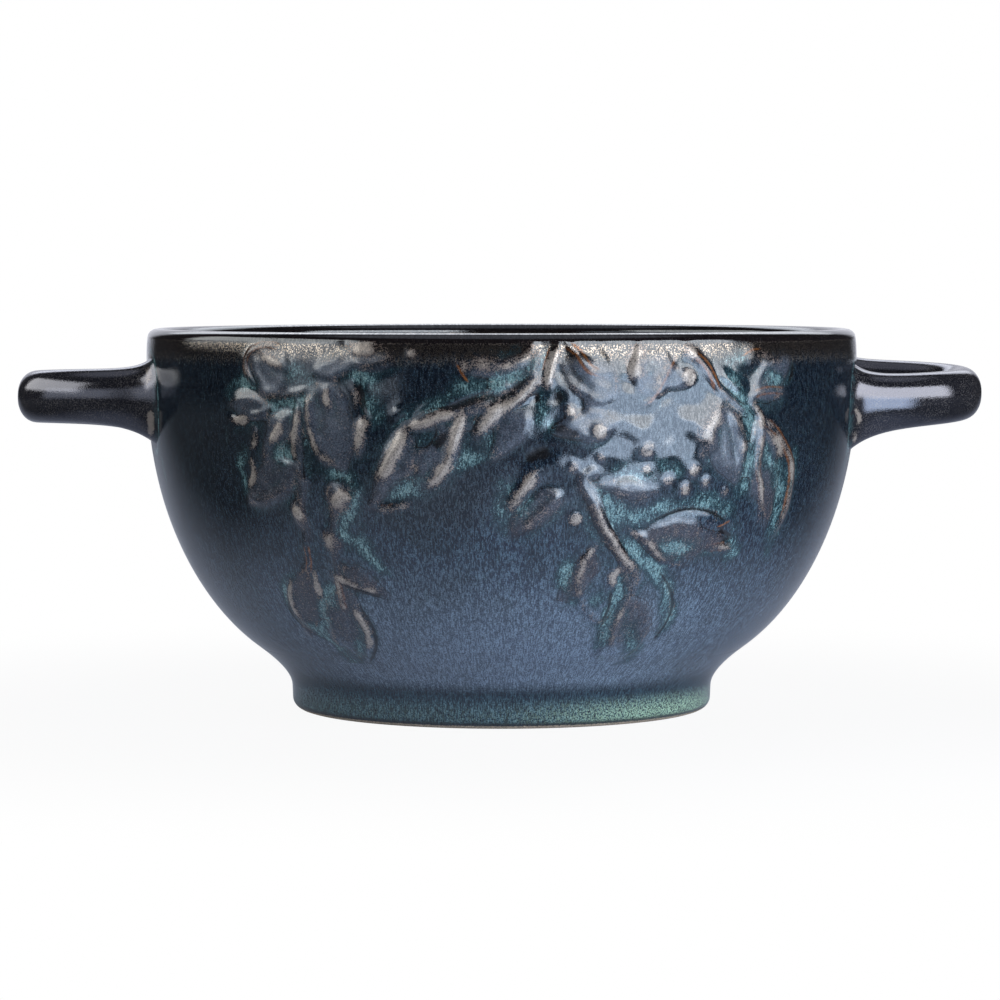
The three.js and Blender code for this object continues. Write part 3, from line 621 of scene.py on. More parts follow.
# hand-made unevenness: level, strength, size in mm and start in the noise
patches = {
    "warpAcross": (0, 1, 5.0, (3, 1, 4)), "warpDown": (0, 1, 5.0, (-2, 7, 1)),
    "margins": (0.75, 0.45, 4.0, (9, 2, 5)), "edges": (0.5, 0.9, 3.0, (4, 6, 1)),
    "beside": (0.35, 0.9, 6.0, (8, 1, 3)), "pools": (0.88, 0.6, 3.4, (2, 9, 6)),
    "torn": (1.1, 0.7, 2.2, (7, 3, 9)), "swell": (0, 1, 7.0, (1, 8, 2)), "dents": (0, 1, 4.6, (3, 2, 7)),
    "wobble": (0, 1, 22.0, (5, 5, 5)),
}
relief = {
    "reach": 4 * mm, "lowest": 74 * mm, "sideways": math.radians(66), "warp": 0.7 * mm, "close": 4,
    "margin": 0.42 * mm, "hollow": 0.45, "rib": 0.16 * mm, "stem": 0.3, "blade": 0.8, "cut": 0.7,
    "soft": 0.46 * mm, "wide": 1.5 * mm, "near": 4 * mm, "halo": 1.3 * mm, "haloSteps": 24,
    "swell": 0.13 * mm, "bed": 0.25 * mm, "dent": 0.42 * mm, "lean": 0.24 * mm, "wobble": 0.06 * mm,
    "sunk": 0.18 * mm, "deepest": 14, "swellNear": (0.05, 0.5), "bedNear": (0.1, 0.7),
    "busy": {"lift": 0.03 * mm, "pool": 0.2, "dark": 0.15},
    # leaves, in mm: reach and rise of the rib, depth behind the outline where things start and are full
    "ribReach": 1.3, "ribRise": (0.02, 0.22), "ribDepth": (0.8, 1.6), "edge": (0, 0.8),
    "hollowDepth": (0.9, 2.2),
    # middle and width of the dents, as a turn and in mm below the lip. other drops below the lip, in mm
    "dentTurn": (0.33, 0.30), "dentDrop": (15, 11), "bedDrop": (0.5, 4), "lowEnd": (66.5, 62),
    "leanDrop": 4.5, "wobbleStart": (0, 6), "wobbleEnd": (66, 58), "tips": (64, 57),
}

fineRows = bowl["rows"] * bowl["finer"] + 1
halfColumns = bowl["columns"] // 2 * bowl["finer"]
drop, wallR, wallZ, outR, outZ = outsideSection(fineRows)
dropMm = drop[:, None] / mm
stepDown = drop[1] - drop[0]
stepAcross = math.pi * bowl["rim"] / halfColumns
allTurns = -math.pi / 2 + math.pi * np.arange(halfColumns * 2) / halfColumns
turns = allTurns[:halfColumns]
neighbours = ((1, 0), (-1, 0), (1, 1), (-1, 1))
sprigNames = sorted(n for n in nodes if n.startswith("front_"))
berryNames = ["front_berry_%d" % (i + 1) for i in range(len(berries["loose"]))]
pieceNames = sprigNames + berryNames


def blur(field, sigmaAcross, sigmaDown=None):
    for axis, sigma in ((1, sigmaAcross), (0, sigmaDown or sigmaAcross)):
        reach = max(1, int(3 * sigma))
        kernel = np.exp(-0.5 * (np.arange(-reach, reach + 1) / sigma) ** 2)
        kernel /= kernel.sum()
        padded = np.pad(field, [(reach, reach) if a == axis else (0, 0) for a in (0, 1)], mode="edge")
        field = np.apply_along_axis(lambda line: np.convolve(line, kernel, "valid"), axis, padded)
    return field


def soften(field, reach):
    return blur(field, reach / stepAcross, reach / stepDown)


def bell(value, sharp):
    return np.exp(-sharp * value ** 2)


def band(value, middle, width):
    return bell((value - middle) / width, 1.0)


def ramp(value, low, high):
    t = np.clip((value - low) / (high - low), 0, 1)
    return t * t * (3 - 2 * t)


# slow noise over the wall from the front's left side on, about -1 to 1
def unevenness(size, start, columns=halfColumns):
    coarse = 3
    ring = [around(running["unrolled"], turn) for turn in allTurns[:columns:coarse]]
    values = [[noise.noise(Vector((x, y, row * stepDown / mm)) / size + Vector(start)) for x, y in ring]
              for row in range(0, fineRows, coarse)]
    field = np.repeat(np.repeat(np.array(values), coarse, 0), coarse, 1)[:fineRows, :columns]
    return blur(field, coarse * 0.8) * 1.6


def patchy(name, columns=halfColumns):
    level, strength, size, start = patches[name]
    return level + strength * unevenness(size, start, columns)


# height of the sprigs over the wall, and which sprig lies where
def feelRelief():
    tree, owners = softSprigs(sprigNames)
    lift = np.zeros((fineRows, halfColumns))
    owner = np.full(lift.shape, -1, int)
    reach = relief["reach"]
    warpAcross, warpDown = patchy("warpAcross") * relief["warp"], patchy("warpDown") * relief["warp"]
    nearFront = np.where(np.abs(turns) < relief["sideways"])[0]
    for row in range(np.searchsorted(drop, relief["lowest"])):
        for column in nearFront:
            at = min(max(row + int(round(warpDown[row, column] / stepDown)), 0), fineRows - 1)
            turn = turns[column] + warpAcross[row, column] / wallR[row]
            s, c = math.sin(turn), math.cos(turn)
            out = Vector((outR[at] * s, -outR[at] * c, outZ[at]))
            start = Vector((wallR[at] * s, -wallR[at] * c, wallZ[at])) + out * reach
            hit, normal, face, distance = tree.ray_cast(start, -out, reach)
            if hit is not None:
                lift[row, column] = reach - distance
                owner[row, column] = owners[face]
    return lift, owner


# distance from the outline of each sprig, inwards
def insideDistance(owner):
    inner = owner >= 0
    depth = np.zeros(owner.shape)
    for step in range(relief["deepest"]):
        depth += inner * stepDown
        kept = inner.copy()
        for shift, axis in neighbours:
            kept &= np.roll(inner, shift, axis) & (np.roll(owner, shift, axis) == owner)
        inner = kept
    return depth


# leaves get a raised margin round a hollow blade, with the midrib left standing
def shapeLeaves(lift, owner):
    isLeaf = np.array(["_leaf_" in n for n in pieceNames] + [False])[owner]
    depth = insideDistance(owner) / mm
    sharp = (lift - soften(lift, relief["ribReach"] * mm)) / mm
    rib = ramp(sharp, *relief["ribRise"]) * ramp(depth, *relief["ribDepth"])
    blade = ramp(depth, *relief["edge"]) * (1 - relief["hollow"] * ramp(depth, *relief["hollowDepth"]))
    leafy = relief["margin"] * blade * patchy("margins") + relief["rib"] * rib
    return np.where(isLeaf, leafy, lift * relief["stem"])


# the glaze fills the narrow gaps between neighbouring leaves
def spread(label, steps):
    for step in range(steps):
        for shift, axis in neighbours:
            moved = np.roll(label, shift, axis)
            label = np.where((label < 0) & (moved >= 0), moved, label)
    return label


def closeGaps(owner):
    grown = spread(owner, relief["close"])
    outside = spread(np.where(grown >= 0, -1, 1), relief["close"])
    return np.where(outside < 0, grown, owner)


# where a point of a sheet falls on the wall, seen from the camera
def onWall(sheet, x, y):
    px, py = np.array(sheetCorners[sheet]) + np.array((x, y)) * sheetStep
    flat = math.cos(viewTilt)
    ahead = np.array([-math.sin(viewTurn) * flat, math.cos(viewTurn) * flat, math.sin(viewTilt)])
    right = np.array([math.cos(viewTurn), math.sin(viewTurn), 0])
    up = np.cross(right, ahead)
    middle = view["pixels"] / 2
    pixel = camera.data.sensor_width / camera.data.lens / view["pixels"]
    across = px - middle - view["shift"] * view["pixels"]
    ray = ahead + right * (across * pixel) + up * ((middle - py) * pixel)
    trail = np.array(camera.location) + ray * np.linspace(view["near"], view["far"], view["steps"])[:, None]
    outside = np.hypot(trail[:, 0], trail[:, 1]) - np.interp(trail[:, 2], wallZ[::-1], wallR[::-1])
    hit = trail[np.argmax(outside < 0)]
    return math.atan2(hit[0], -hit[1]), np.interp(-hit[2], -wallZ, drop)


# a curve through all the points
def smoothLine(points, steps=8):
    points = [np.array(p, float) for p in points]
    if len(points) < 3:
        return points
    ends = [2 * points[0] - points[1], *points, 2 * points[-1] - points[-2]]
    line = []
    for a, b, c, d in zip(ends, ends[1:], ends[2:], ends[3:]):
        for t in np.arange(steps) / steps:
            bend = (2 * a - 5 * b + 4 * c - d) * t ** 2 + (3 * b - a - 3 * c + d) * t ** 3
            line.append(0.5 * (2 * b + (c - a) * t + bend))
    return line + points[-1:]


# the part of the wall round a drawn line: distance off it in half widths, and the line's strength there
def nearLine(sheet, points, width):
    half = width * mm / 2
    reach = 3 * half
    spots = np.array([onWall(sheet, *p) for p in smoothLine(points)])
    (leftmost, upmost), (rightmost, lowest) = spots.min(0), spots.max(0)
    rows = np.where((drop > upmost - reach) & (drop < lowest + reach))[0]
    wideness = reach / wallR[rows].min()
    columns = np.where((turns > leftmost - wideness) & (turns < rightmost + wideness))[0]
    radius = wallR[rows][:, None]
    away = np.full((len(rows), len(columns)), 1.0)
    share = np.zeros_like(away)
    least = profile["endShare"]
    count = max(1, len(spots) - 1)
    for k in range(count):
        turn, low = spots[k]
        endTurn, endLow = spots[min(k + 1, len(spots) - 1)]
        x, y = (turns[columns][None] - turn) * radius, (drop[rows] - low)[:, None]
        ex, ey = (endTurn - turn) * radius, endLow - low
        t = np.clip((x * ex + y * ey) / np.maximum(ex * ex + ey * ey, 1e-12), 0, 1)
        off = np.hypot(x - t * ex, y - t * ey)
        along = (k + t) / count
        inside = np.clip(np.minimum(along, 1 - along) / profile["fade"], 0, 1)
        strength = inside * (1 - least) + least if len(spots) > 1 else 1.0
        share = np.where(off < away, strength, share)
        away = np.minimum(off, away)
    return np.ix_(rows, columns), away / half, share


def drawRelief(owner):
    drawn = {name: np.zeros(owner.shape) for name in ("lift", "cut", "tan", "amber", "pool", "dark")}
    tanParts = profile["tanCore"], profile["tanHalo"]

    def lay(name, box, values):
        drawn[name][box] = np.maximum(drawn[name][box], values)

    for sheet in sheetCorners:
        for width, high, tan, amber, points in crestLines[sheet]:
            box, off, share = nearLine(sheet, points, width)
            lay("lift", box, bell(off, profile["body"]) * share * high * mm)
            lay("tan", box, tan * sum(part * bell(off, sharp) for part, sharp in tanParts) * share)
            edge, edgeWidth = profile["crestAmber"]
            lay("amber", box, amber * band(off, edge * (tan > profile["tanCrest"]), edgeWidth) * share)
        for width, deep, amber, points in slitLines[sheet]:
            box, off, share = nearLine(sheet, points, width)
            lay("cut", box, bell(off, profile["body"]) * share * deep * mm)
            # painted shade in the slit
            lay("dark", box, bell(off, profile["body"]) * share)
            lay("amber", box, amber * band(off, *profile["slitAmber"]) * share)
        for width, points in poolLines[sheet]:
            box, off, share = nearLine(sheet, points, width)
            lay("pool", box, profile["poolShare"] * band(off, *profile["pool"]) * share)
    for group in ("loose", "pressed"):
        for index, (sheet, x, y, size, tan) in enumerate(berries[group]):
            box, off, share = nearLine(sheet, [(x, y)], size)
            shape = np.clip(1 - off ** 2, 0, 1)
            lay("lift", box, berries["crown"] * size * mm * np.sqrt(shape) + berries["rise"] * (shape > 0))
            lay("tan", box, tan * np.clip(shape * berries["tanFull"], 0, 1))
            if group == "loose":
                owner[box] = np.where(shape > 0, len(sprigNames) + index, owner[box])
    return drawn


# moves a drawn field about, so that no line stays straight
def wander(field, reach, size, start):
    across = unevenness(size, start) * reach / stepAcross
    along = unevenness(size, [v + 40 for v in start]) * reach / stepDown
    rows, columns = np.indices(field.shape)
    rows = np.clip(np.rint(rows + along).astype(int), 0, fineRows - 1)
    columns = np.clip(np.rint(columns + across).astype(int), 0, halfColumns - 1)
    return blur(field[rows, columns], 0.9)


rawLift, owner = feelRelief()
owner = closeGaps(owner)
leaves = shapeLeaves(rawLift, owner)
drawn = drawRelief(owner)
for name, moves in straying.items():
    for move in moves:
        drawn[name] = wander(drawn[name], *move)
shaped = np.maximum(leaves * relief["blade"], 0) + drawn["lift"] - drawn["cut"] * relief["cut"]
soft, wide = soften(shaped, relief["soft"]), soften(shaped, relief["wide"])
onSprig, offSprig = (owner >= 0) * 1.0, owner < 0
tips = ramp(dropMm, *relief["tips"])  # the lowest leaves die out above the foot

# glaze round the root of a handle, in mm: a dark seam, a teal rim and a run below it
roots = {
    "turn": math.radians(78.3), "heights": {1: 61.0, -1: 62.3}, "half": 5.9, "above": 7.3, "below": 9.6,
    "size": 6.5, "seam": (0.1, 0.4), "rim": (1.0, 0.8), "runAside": -5.2, "runStart": -9, "runLean": -0.03,
    "runWide": 1.3, "runEnds": (-26, -10), "runShare": 0.8,
}


def rootGlaze(side):
    x = (turns[None] * side - roots["turn"]) * wallR[:, None] / mm
    z = np.broadcast_to(wallZ[:, None] / mm - roots["heights"][side], x.shape)
    tall = np.where(z > 0, roots["above"], roots["below"])
    off = (np.hypot(x / roots["half"], z / tall) - 1) * roots["size"]
    aside = roots["runAside"] + roots["runLean"] * (z - roots["runStart"])
    run = band(x, aside, roots["runWide"]) * ramp(z, *roots["runEnds"]) * (z < 0)
    return band(off, *roots["seam"]), np.maximum(band(off, *roots["rim"]), roots["runShare"] * run)


seams, rims = zip(*map(rootGlaze, roots["heights"]))


# glaze over the relief: shares and their limits, and drops below the lip or depths behind an outline, in mm
coat = {
    "sag": 0.8, "sagged": 0.6, "poolDepth": 0.30, "mostHollow": 0.4, "drawnPool": 1.1, "beside": 1.1,
    "besideDrop": (4, 26), "besidePool": 1.5, "poolPatch": (0.5, 1.1), "marginFrom": (0.1, 0.4),
    "marginTo": (1.3, 0.6), "marginTan": 0.56, "marginAmber": 0.45, "tornLimits": (0.45, 1.4),
    "rightLess": 0.24, "rightTurn": (-0.05, 0.15), "leafTan": 0.19, "lowerTan": 0.08, "lowerDrop": (22, 34),
    # darkening on steep flanks and in a ring just outside each sprig: painted shade
    "steep": (0.3, 0.8), "steepDark": 0.6, "outline": (0.1, 0.4), "outlineDark": 0.75,
    # softness in steps of the fine wall
    "besideSoft": 1.5, "raisedSoft": 3, "outlineSoft": 2, "tanSoft": 0.8,
}


# the glaze lies deep where it is drawn so, in hollows, below ridges, beside leaves and round the handles
def poolField():
    sagged = np.roll(wide, int(coat["sag"] * mm / stepDown), 0)
    level = wide + coat["sagged"] * (sagged - wide)
    hollows = np.clip((level - soft) / mm / coat["poolDepth"], 0, coat["mostHollow"])
    beside = soften(onSprig, coat["beside"] * mm) * offSprig * ramp(dropMm, *coat["besideDrop"])
    beside = blur(beside * np.clip(patchy("beside"), 0, 1), coat["besideSoft"])
    pools = np.clip(coat["drawnPool"] * drawn["pool"] + hollows, 0, 1)
    pools = np.maximum.reduce([pools, coat["besidePool"] * beside * tips, *rims])
    return pools * np.clip(patchy("pools"), *coat["poolPatch"])


def glazeFields():
    depth = insideDistance(owner) / mm
    broken = np.clip(patchy("edges"), 0, 1)
    margin = ramp(depth, *coat["marginFrom"]) * ramp(depth, *coat["marginTo"]) * broken * tips
    raised = blur(onSprig, coat["raisedSoft"]) * tips
    outline = ramp(blur(onSprig, coat["outlineSoft"]) * offSprig * tips, *coat["outline"])
    slope = np.hypot(np.gradient(soft, axis=0) / stepDown, np.gradient(soft, axis=1) / stepAcross)
    torn = patchy("torn") - coat["rightLess"] * ramp(turns, *coat["rightTurn"])
    # crest tan: tan where the glaze runs off, partly painted highlight on the crests that catch the lamps
    crests = drawn["tan"] * np.clip(torn, *coat["tornLimits"])
    leafTan = (coat["leafTan"] + coat["lowerTan"] * ramp(dropMm, *coat["lowerDrop"])) * raised
    tan = np.maximum.reduce([crests, coat["marginTan"] * margin, leafTan])
    # painted shade: dark in the drawn slits, on steep flanks and just outside each sprig
    dark = drawn["dark"] + coat["steepDark"] * ramp(slope, *coat["steep"]) + coat["outlineDark"] * outline
    return {
        "tan": blur(tan, coat["tanSoft"]), "pool": poolField(), "raised": raised,
        "amber": np.maximum(drawn["amber"], coat["marginAmber"] * margin * broken),
        "dark": np.clip(dark + np.maximum(*seams), 0, 1),
    }


# the relief under its glaze, with a swelling bed, dents under the right leaves and a lip that leans in
def reliefHeight():
    near = soften(onSprig, relief["near"])
    dents = band(turns, *relief["dentTurn"]) * band(dropMm, *relief["dentDrop"])
    height = soft + relief["swell"] * patchy("swell") * ramp(near, *relief["swellNear"])
    height = height + relief["dent"] * patchy("dents") * dents
    height = height + relief["bed"] * ramp(near, *relief["bedNear"]) * ramp(dropMm, *relief["bedDrop"])
    leaning = np.clip(1 - dropMm / relief["leanDrop"], 0, 1) ** 2
    return height * ramp(dropMm, *relief["lowEnd"]) - relief["lean"] * leaning


# every half turn is alike, so the fields of the front serve the back
def wholeTurn(field):
    return np.concatenate([field, field], axis=1)


def swept(radius, z, turns):
    return np.stack(np.broadcast_arrays(*around(radius, turns), z), -1)


def skin(lift, step=1):
    r = wallR[::step, None] + outR[::step, None] * lift
    z = wallZ[::step, None] + outZ[::step, None] * lift
    return swept(r, z, allTurns[::step])


fields = {label: wholeTurn(field) for label, field in glazeFields().items()}
halfHeight = reliefHeight()
print("relief drawn, highest %.2f mm" % (halfHeight.max() / mm))
slowWave = patchy("wobble", halfColumns * 2)
slowWave = slowWave * ramp(dropMm, *relief["wobbleStart"]) * ramp(dropMm, *relief["wobbleEnd"])
height = wholeTurn(halfHeight) + slowWave * relief["wobble"]
fineSkin = skin(height)
sunkSkin = skin(np.full_like(height, -relief["sunk"]))
fineNormal = np.cross(np.gradient(fineSkin, axis=0), np.roll(fineSkin, -1, 1) - np.roll(fineSkin, 1, 1))
fineNormal /= np.linalg.norm(fineNormal, axis=2, keepdims=True)
print("skin laid over the relief")


# gives each coarse cell of the wall to the sprig that lies in it, or to none
def shareCells():
    label = spread(owner, int(relief["halo"] / stepDown))
    busy = np.logical_or.reduce([drawn[name] > least for name, least in relief["busy"].items()])
    label = np.where(busy & (label < 0), spread(label, relief["haloSteps"]), label)
    finer = bowl["finer"]
    cells = np.full((bowl["rows"], bowl["columns"] // 2), -1, int)
    for row, column in np.ndindex(cells.shape):
        part = label[row * finer:(row + 1) * finer + 1, column * finer:(column + 1) * finer + 1]
        found = part[part >= 0]
        if found.size * 2 > part.size:
            cells[row, column] = np.bincount(found).argmax()
    return cells


halfCells = shareCells()
cells = np.concatenate([halfCells, np.where(halfCells >= 0, halfCells + len(pieceNames), -1)], axis=1)
allNames = pieceNames + [n.replace("front_", "back_", 1) for n in pieceNames]


def finishPiece(name, points, faces, normals, attributes, material, replaced):
    mesh = bpy.data.meshes.new(name)
    mesh.from_pydata(np.asarray(points).tolist(), [], faces)
    for label, values in attributes.items():
        layer = mesh.attributes.new(label, "FLOAT", "POINT")
        layer.data.foreach_set("value", np.asarray(values, dtype=np.float32))
    mesh.polygons.foreach_set("use_smooth", [True] * len(mesh.polygons))
    if normals is not None:
        mesh.normals_split_custom_set_from_vertices(normals.tolist())
    mesh.materials.append(material)
    piece = bpy.data.objects.new(name, mesh)
    bpy.context.collection.objects.link(piece)
    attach(piece, "root")
    if replaced:
        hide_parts(*replaced)
    return piece


# faces between rings of points, from each ring to the next
def ringFaces(rings, columns, closed=False):
    faces = []
    for ring in range(rings if closed else rings - 1):
        here, there = ring * columns, (ring + 1) % rings * columns
        for c in range(columns):
            n = (c + 1) % columns
            faces.append((here + c, there + c, there + n, here + n))
    return faces


# bowl: the coarse wall runs on under the sprigs, then the lip, the inside and both floors
def makeBowl():
    finer, columns, rows = bowl["finer"], bowl["columns"], bowl["rows"]
    touching = np.zeros((rows + 1, columns), int)
    for down, aside in np.ndindex(2, 2):
        touching[down:rows + down] += np.roll(cells >= 0, aside, axis=1)
    lift = height[::finer, ::finer].copy()
    lift[touching == 4] = -bowl["tucked"]
    floorZ, floors = bowl["under"] + bowl["floor"], np.array(bowl["floorRings"]) * bowl["floorRadius"]
    none = np.zeros_like(floors)
    curl = np.linspace(0, math.pi, bowl["lipRows"])[1:]
    swing = np.linspace(0, math.pi / 2, bowl["insideRows"])
    lipHalf = (bowl["wall"] - relief["lean"]) / 2
    wide, deep = bellyWide - bowl["wall"], bellyDeep - bowl["floor"]
    # radius and height, then the normal's parts outwards and upwards
    lip = [bowl["rim"] - bowl["wall"] + lipHalf * (1 + np.cos(curl)),
           lipEdge + bowl["lipRise"] * np.sin(curl),
           2 * np.cos(curl) / bowl["wall"], np.sin(curl) / bowl["lipRise"]]
    inside = [bowl["floorRadius"] + wide * np.cos(swing), bowl["belly"] - deep * np.sin(swing),
              -np.cos(swing) / wide, np.sin(swing) / deep]
    above = np.concatenate([lip, inside, [floors, none + floorZ, none, none + 1]], axis=1).T[::-1]
    below = np.stack([floors, none + bowl["under"], none, none - 1], -1)

    def rings(section, first):
        return [swept(part[first], part[first + 1], allTurns[::finer]) for part in section]

    above[:, 2:] /= np.linalg.norm(above[:, 2:], axis=1, keepdims=True)
    layers = [*rings(above, 0), *skin(lift, finer), *rings(below, 0)]
    normals = [*rings(above, 2), *fineNormal[::finer, ::finer], *rings(below, 2)]
    points = np.concatenate([*layers, [[0, 0, floorZ], [0, 0, bowl["under"]]]])
    normals = np.concatenate([*normals, [[0, 0, 1], [0, 0, -1]]])
    faces = ringFaces(len(layers), columns)
    pole, last = len(layers) * columns, (len(layers) - 1) * columns
    for c in range(columns):
        n = (c + 1) % columns
        faces += [(pole, c, n), (pole + 1, last + n, last + c)]
    start = len(above) * columns
    attributes = {label: np.zeros(len(points)) for label in fields}
    for label, field in fields.items():
        attributes[label][start:start + (rows + 1) * columns] = field[::finer, ::finer].ravel()
    finishPiece("bowl", points, faces, normals, attributes, wallMaterial,
                ["bowl_floor", "bowl_belly", "bowl_wall"])


makeBowl()
print("bowl thrown")


# one sprig: its cells in fine steps, with a back sunk in the wall
def makeSprig(index):
    finer, columns = bowl["finer"], bowl["columns"]
    grid, keys, points = {}, [], []

    def corner(row, column):
        return fineSkin[row, column % (columns * finer)]

    # on a border between pieces a point lies straight between the coarse corners
    def place(row, column):
        rowOff, columnOff = row % finer, column % finer
        r, c = row // finer, column // finer % columns
        if rowOff == 0 and columnOff:
            apart = cells[r - 1, c] != cells[min(r, bowl["rows"] - 1), c]
            share, start = columnOff / finer, column - columnOff
            a, b = corner(row, start), corner(row, start + finer)
        elif columnOff == 0 and rowOff:
            apart = cells[r, c - 1] != cells[r, c]
            share, start = rowOff / finer, row - rowOff
            a, b = corner(start, column), corner(start + finer, column)
        else:
            return corner(row, column)
        return a * (1 - share) + b * share if apart else corner(row, column)

    def vertex(row, column):
        key = (row, column % (columns * finer))
        if key not in grid:
            grid[key] = len(keys)
            keys.append(key)
            points.append(place(row, column))
        return grid[key]

    faces, edges = [], {}
    for row, column in np.argwhere(cells == index) * finer:
        for i, j in np.ndindex(finer, finer):
            r, c = row + i, column + j
            quad = [vertex(r, c), vertex(r + 1, c), vertex(r + 1, c + 1), vertex(r, c + 1)]
            faces.append(quad)
            edges.update(((quad[k], quad[(k + 1) % 4]), True) for k in range(4))
    front = len(points)
    faces += [[front + k for k in reversed(quad)] for quad in faces]
    faces += [[b, a, front + a, front + b] for a, b in edges if (b, a) not in edges]
    spots = tuple(np.array(keys).T)
    points = np.concatenate([points, sunkSkin[spots]])
    normals = np.concatenate([fineNormal[spots], -fineNormal[spots]])
    attributes = {label: np.tile(field[spots], 2) for label, field in fields.items()}
    name = allNames[index]
    finishPiece(name, points, faces, normals, attributes, wallMaterial,
                [name] if name in nodes else [])


for index in range(len(allNames)):
    makeSprig(index)
print("sprigs pressed:", len(allNames))

# foot ring: its outside flares into the belly
foot = {"radius": 41.4 * mm, "thick": 6 * mm, "edge": 2.2 * mm, "draft": 1.1 * mm, "flare": 6.6 * mm,
        "flareStart": 4.6 * mm, "flareLean": (0.1 * mm, 0.25 * mm), "seat": 0.012 * mm, "worn": 0.4 * mm,
        "rest": 0.6 * mm, "hidden": 0.3 * mm, "inside": 0.5 * mm, "columns": 576}


def makeFoot():
    def belly(radius):
        return bowl["belly"] - bellyDeep * math.sqrt(1 - ((radius - bowl["floorRadius"]) / bellyWide) ** 2)

    outer, inner = foot["radius"], foot["radius"] - foot["thick"]
    top, seatR = inner - foot["draft"], outer + foot["flare"]
    section = [(inner, foot["worn"]), (inner + foot["worn"], 0.0), (outer - foot["edge"] - foot["rest"], 0.0)]
    for a in np.linspace(0, math.pi / 2, 9)[1:]:
        section.append((outer - foot["edge"] * (1 - math.sin(a)), foot["edge"] * (1 - math.cos(a))))
    # the flare leaves the side upright and meets the belly along its slope
    startLean, bendLean = foot["flareLean"]
    slope = (belly(seatR + mm) - belly(seatR)) / mm
    end = np.array((seatR, belly(seatR) - foot["seat"]))
    start = np.array((outer + startLean, foot["flareStart"]))
    bend = np.array((outer + bendLean, end[1] - slope * (seatR - outer - bendLean)))
    for t in np.linspace(0, 1, 13):
        section.append(tuple((1 - t) ** 2 * start + 2 * t * (1 - t) * bend + t * t * end))
    for r in np.linspace(seatR, top, 8)[1:]:
        section.append((r, belly(r) + foot["hidden"]))
    section.append((top, belly(top) - foot["inside"]))
    spin = 2 * math.pi * np.arange(foot["columns"]) / foot["columns"]
    points = np.concatenate([swept(r, z, spin) for r, z in section])
    faces = [(a, d, c, b) for a, b, c, d in ringFaces(len(section), len(spin), closed=True)]
    pick(finishPiece("foot_ring", points, faces, None, {}, wallMaterial, ["foot_ring"]))
    bpy.ops.object.shade_smooth_by_angle(angle=math.radians(50))


makeFoot()
print("foot turned")

# handles: an oval strap round a half ellipse, swelling into the wall
handles = {
    "root": 63.4 * mm, "spread": 14.2 * mm, "tall": 10.2 * mm, "thick": 8.2 * mm, "rings": 170, "sides": 72,
    "topFlare": (1.9, 2.4), "underFlare": (4.0, 5.2), "sideFlare": (1.5, 2.2), "sunk": 1.6 * mm,
    "fullness": 0.9, "crowding": 0.4, "patch": 3.5 * mm, "seam": (0.1, 0.35), "seamPool": 0.6,
    "crest": (1.2, 0.8), "crestStart": 0.3, "crestTan": (0.12, 1.7),
    "right": {"turn": 0, "middle": 62.2 * mm, "lean": 5},
    "left": {"turn": 180, "middle": 61.6 * mm, "lean": 3},
}


def turned(x, y, angle):
    return x * math.cos(angle) - y * math.sin(angle), x * math.sin(angle) + y * math.cos(angle)


def makeHandle(side):
    name, own = side + "_handle", handles[side]
    low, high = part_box(name)
    rings, sides, root, spread = (handles[key] for key in ("rings", "sides", "root", "spread"))
    halfThick, halfTall = handles["thick"] / 2, handles["tall"] / 2
    tip = max(abs(low[0]), abs(high[0])) - halfThick
    leastTan, patchTan = handles["crestTan"]
    points, crests, pools = [], [], []

    def flare(kind, off):
        size, reach = handles[kind]
        return size * mm * math.exp(-off / reach)

    def full(value):
        return math.copysign(abs(value) ** handles["fullness"], value)

    def wallAt(z):
        return np.interp(z, wallZ[::-1], wallR[::-1])

    # rings lie closer towards the roots
    for t in np.arange(rings + 1) / rings:
        a = math.pi * t - handles["crowding"] * math.sin(2 * math.pi * t)
        mid = np.array([root + (tip - root) * math.sin(a), -spread * math.cos(a)])
        out = np.array([spread * math.sin(a), -(tip - root) * math.cos(a)])
        out /= np.linalg.norm(out)
        for b in 2 * math.pi * np.arange(sides) / sides:
            s, c = full(math.sin(b)), full(math.cos(b))
            off = (np.hypot(*(mid + out * halfThick * c)) - wallAt(own["middle"] + halfTall * s)) / mm
            off = max(-1.0, off)
            upper = (1 + s) / 2
            tall = halfTall + flare("topFlare", off) * upper + flare("underFlare", off) * (1 - upper)
            x, y = mid + out * ((halfThick + flare("sideFlare", off)) * c)
            y, z = turned(y, tall * s, math.radians(own["lean"]))
            z += own["middle"]
            wall, away = wallAt(z), np.hypot(x, y)
            inwards = max(1.0, (wall - handles["sunk"]) / away)
            points.append((*turned(x * inwards, y * inwards, math.radians(own["turn"])), z))
            patch = noise.noise(Vector(points[-1]) / handles["patch"] + Vector((2, own["lean"], 4)))
            off = (away - wall) / mm
            pools.append(handles["seamPool"] * band(off, *handles["seam"]))
            tan = np.clip(leastTan + patchTan * patch, 0, 1) * (off > handles["crestStart"])
            crests.append(tan * band(off, *handles["crest"]))
    faces = [list(range(sides)), *ringFaces(rings + 1, sides), list(range(rings * sides, len(points)))[::-1]]
    attributes = {"pool": pools, "tan": crests}
    finishPiece(name, points, faces, None, attributes, handleMaterial, [name])


for side in ("right", "left"):
    makeHandle(side)
print("handles luted on")

# stage: a white board under the cup, and a studio that is dark in front and white behind
stage = {"front": -0.26, "back": 1.2, "half": 0.9, "white": (0.57, 0.62, 0.74), "dim": (0.04, 0.045, 0.05),
         "rough": 0.9, "room": (0.135, 0.7), "forward": 4.2, "ragged": 0.1, "far": (0.55, 1.25),
         "shade": (0.07, 0.20), "seen": 0.93}


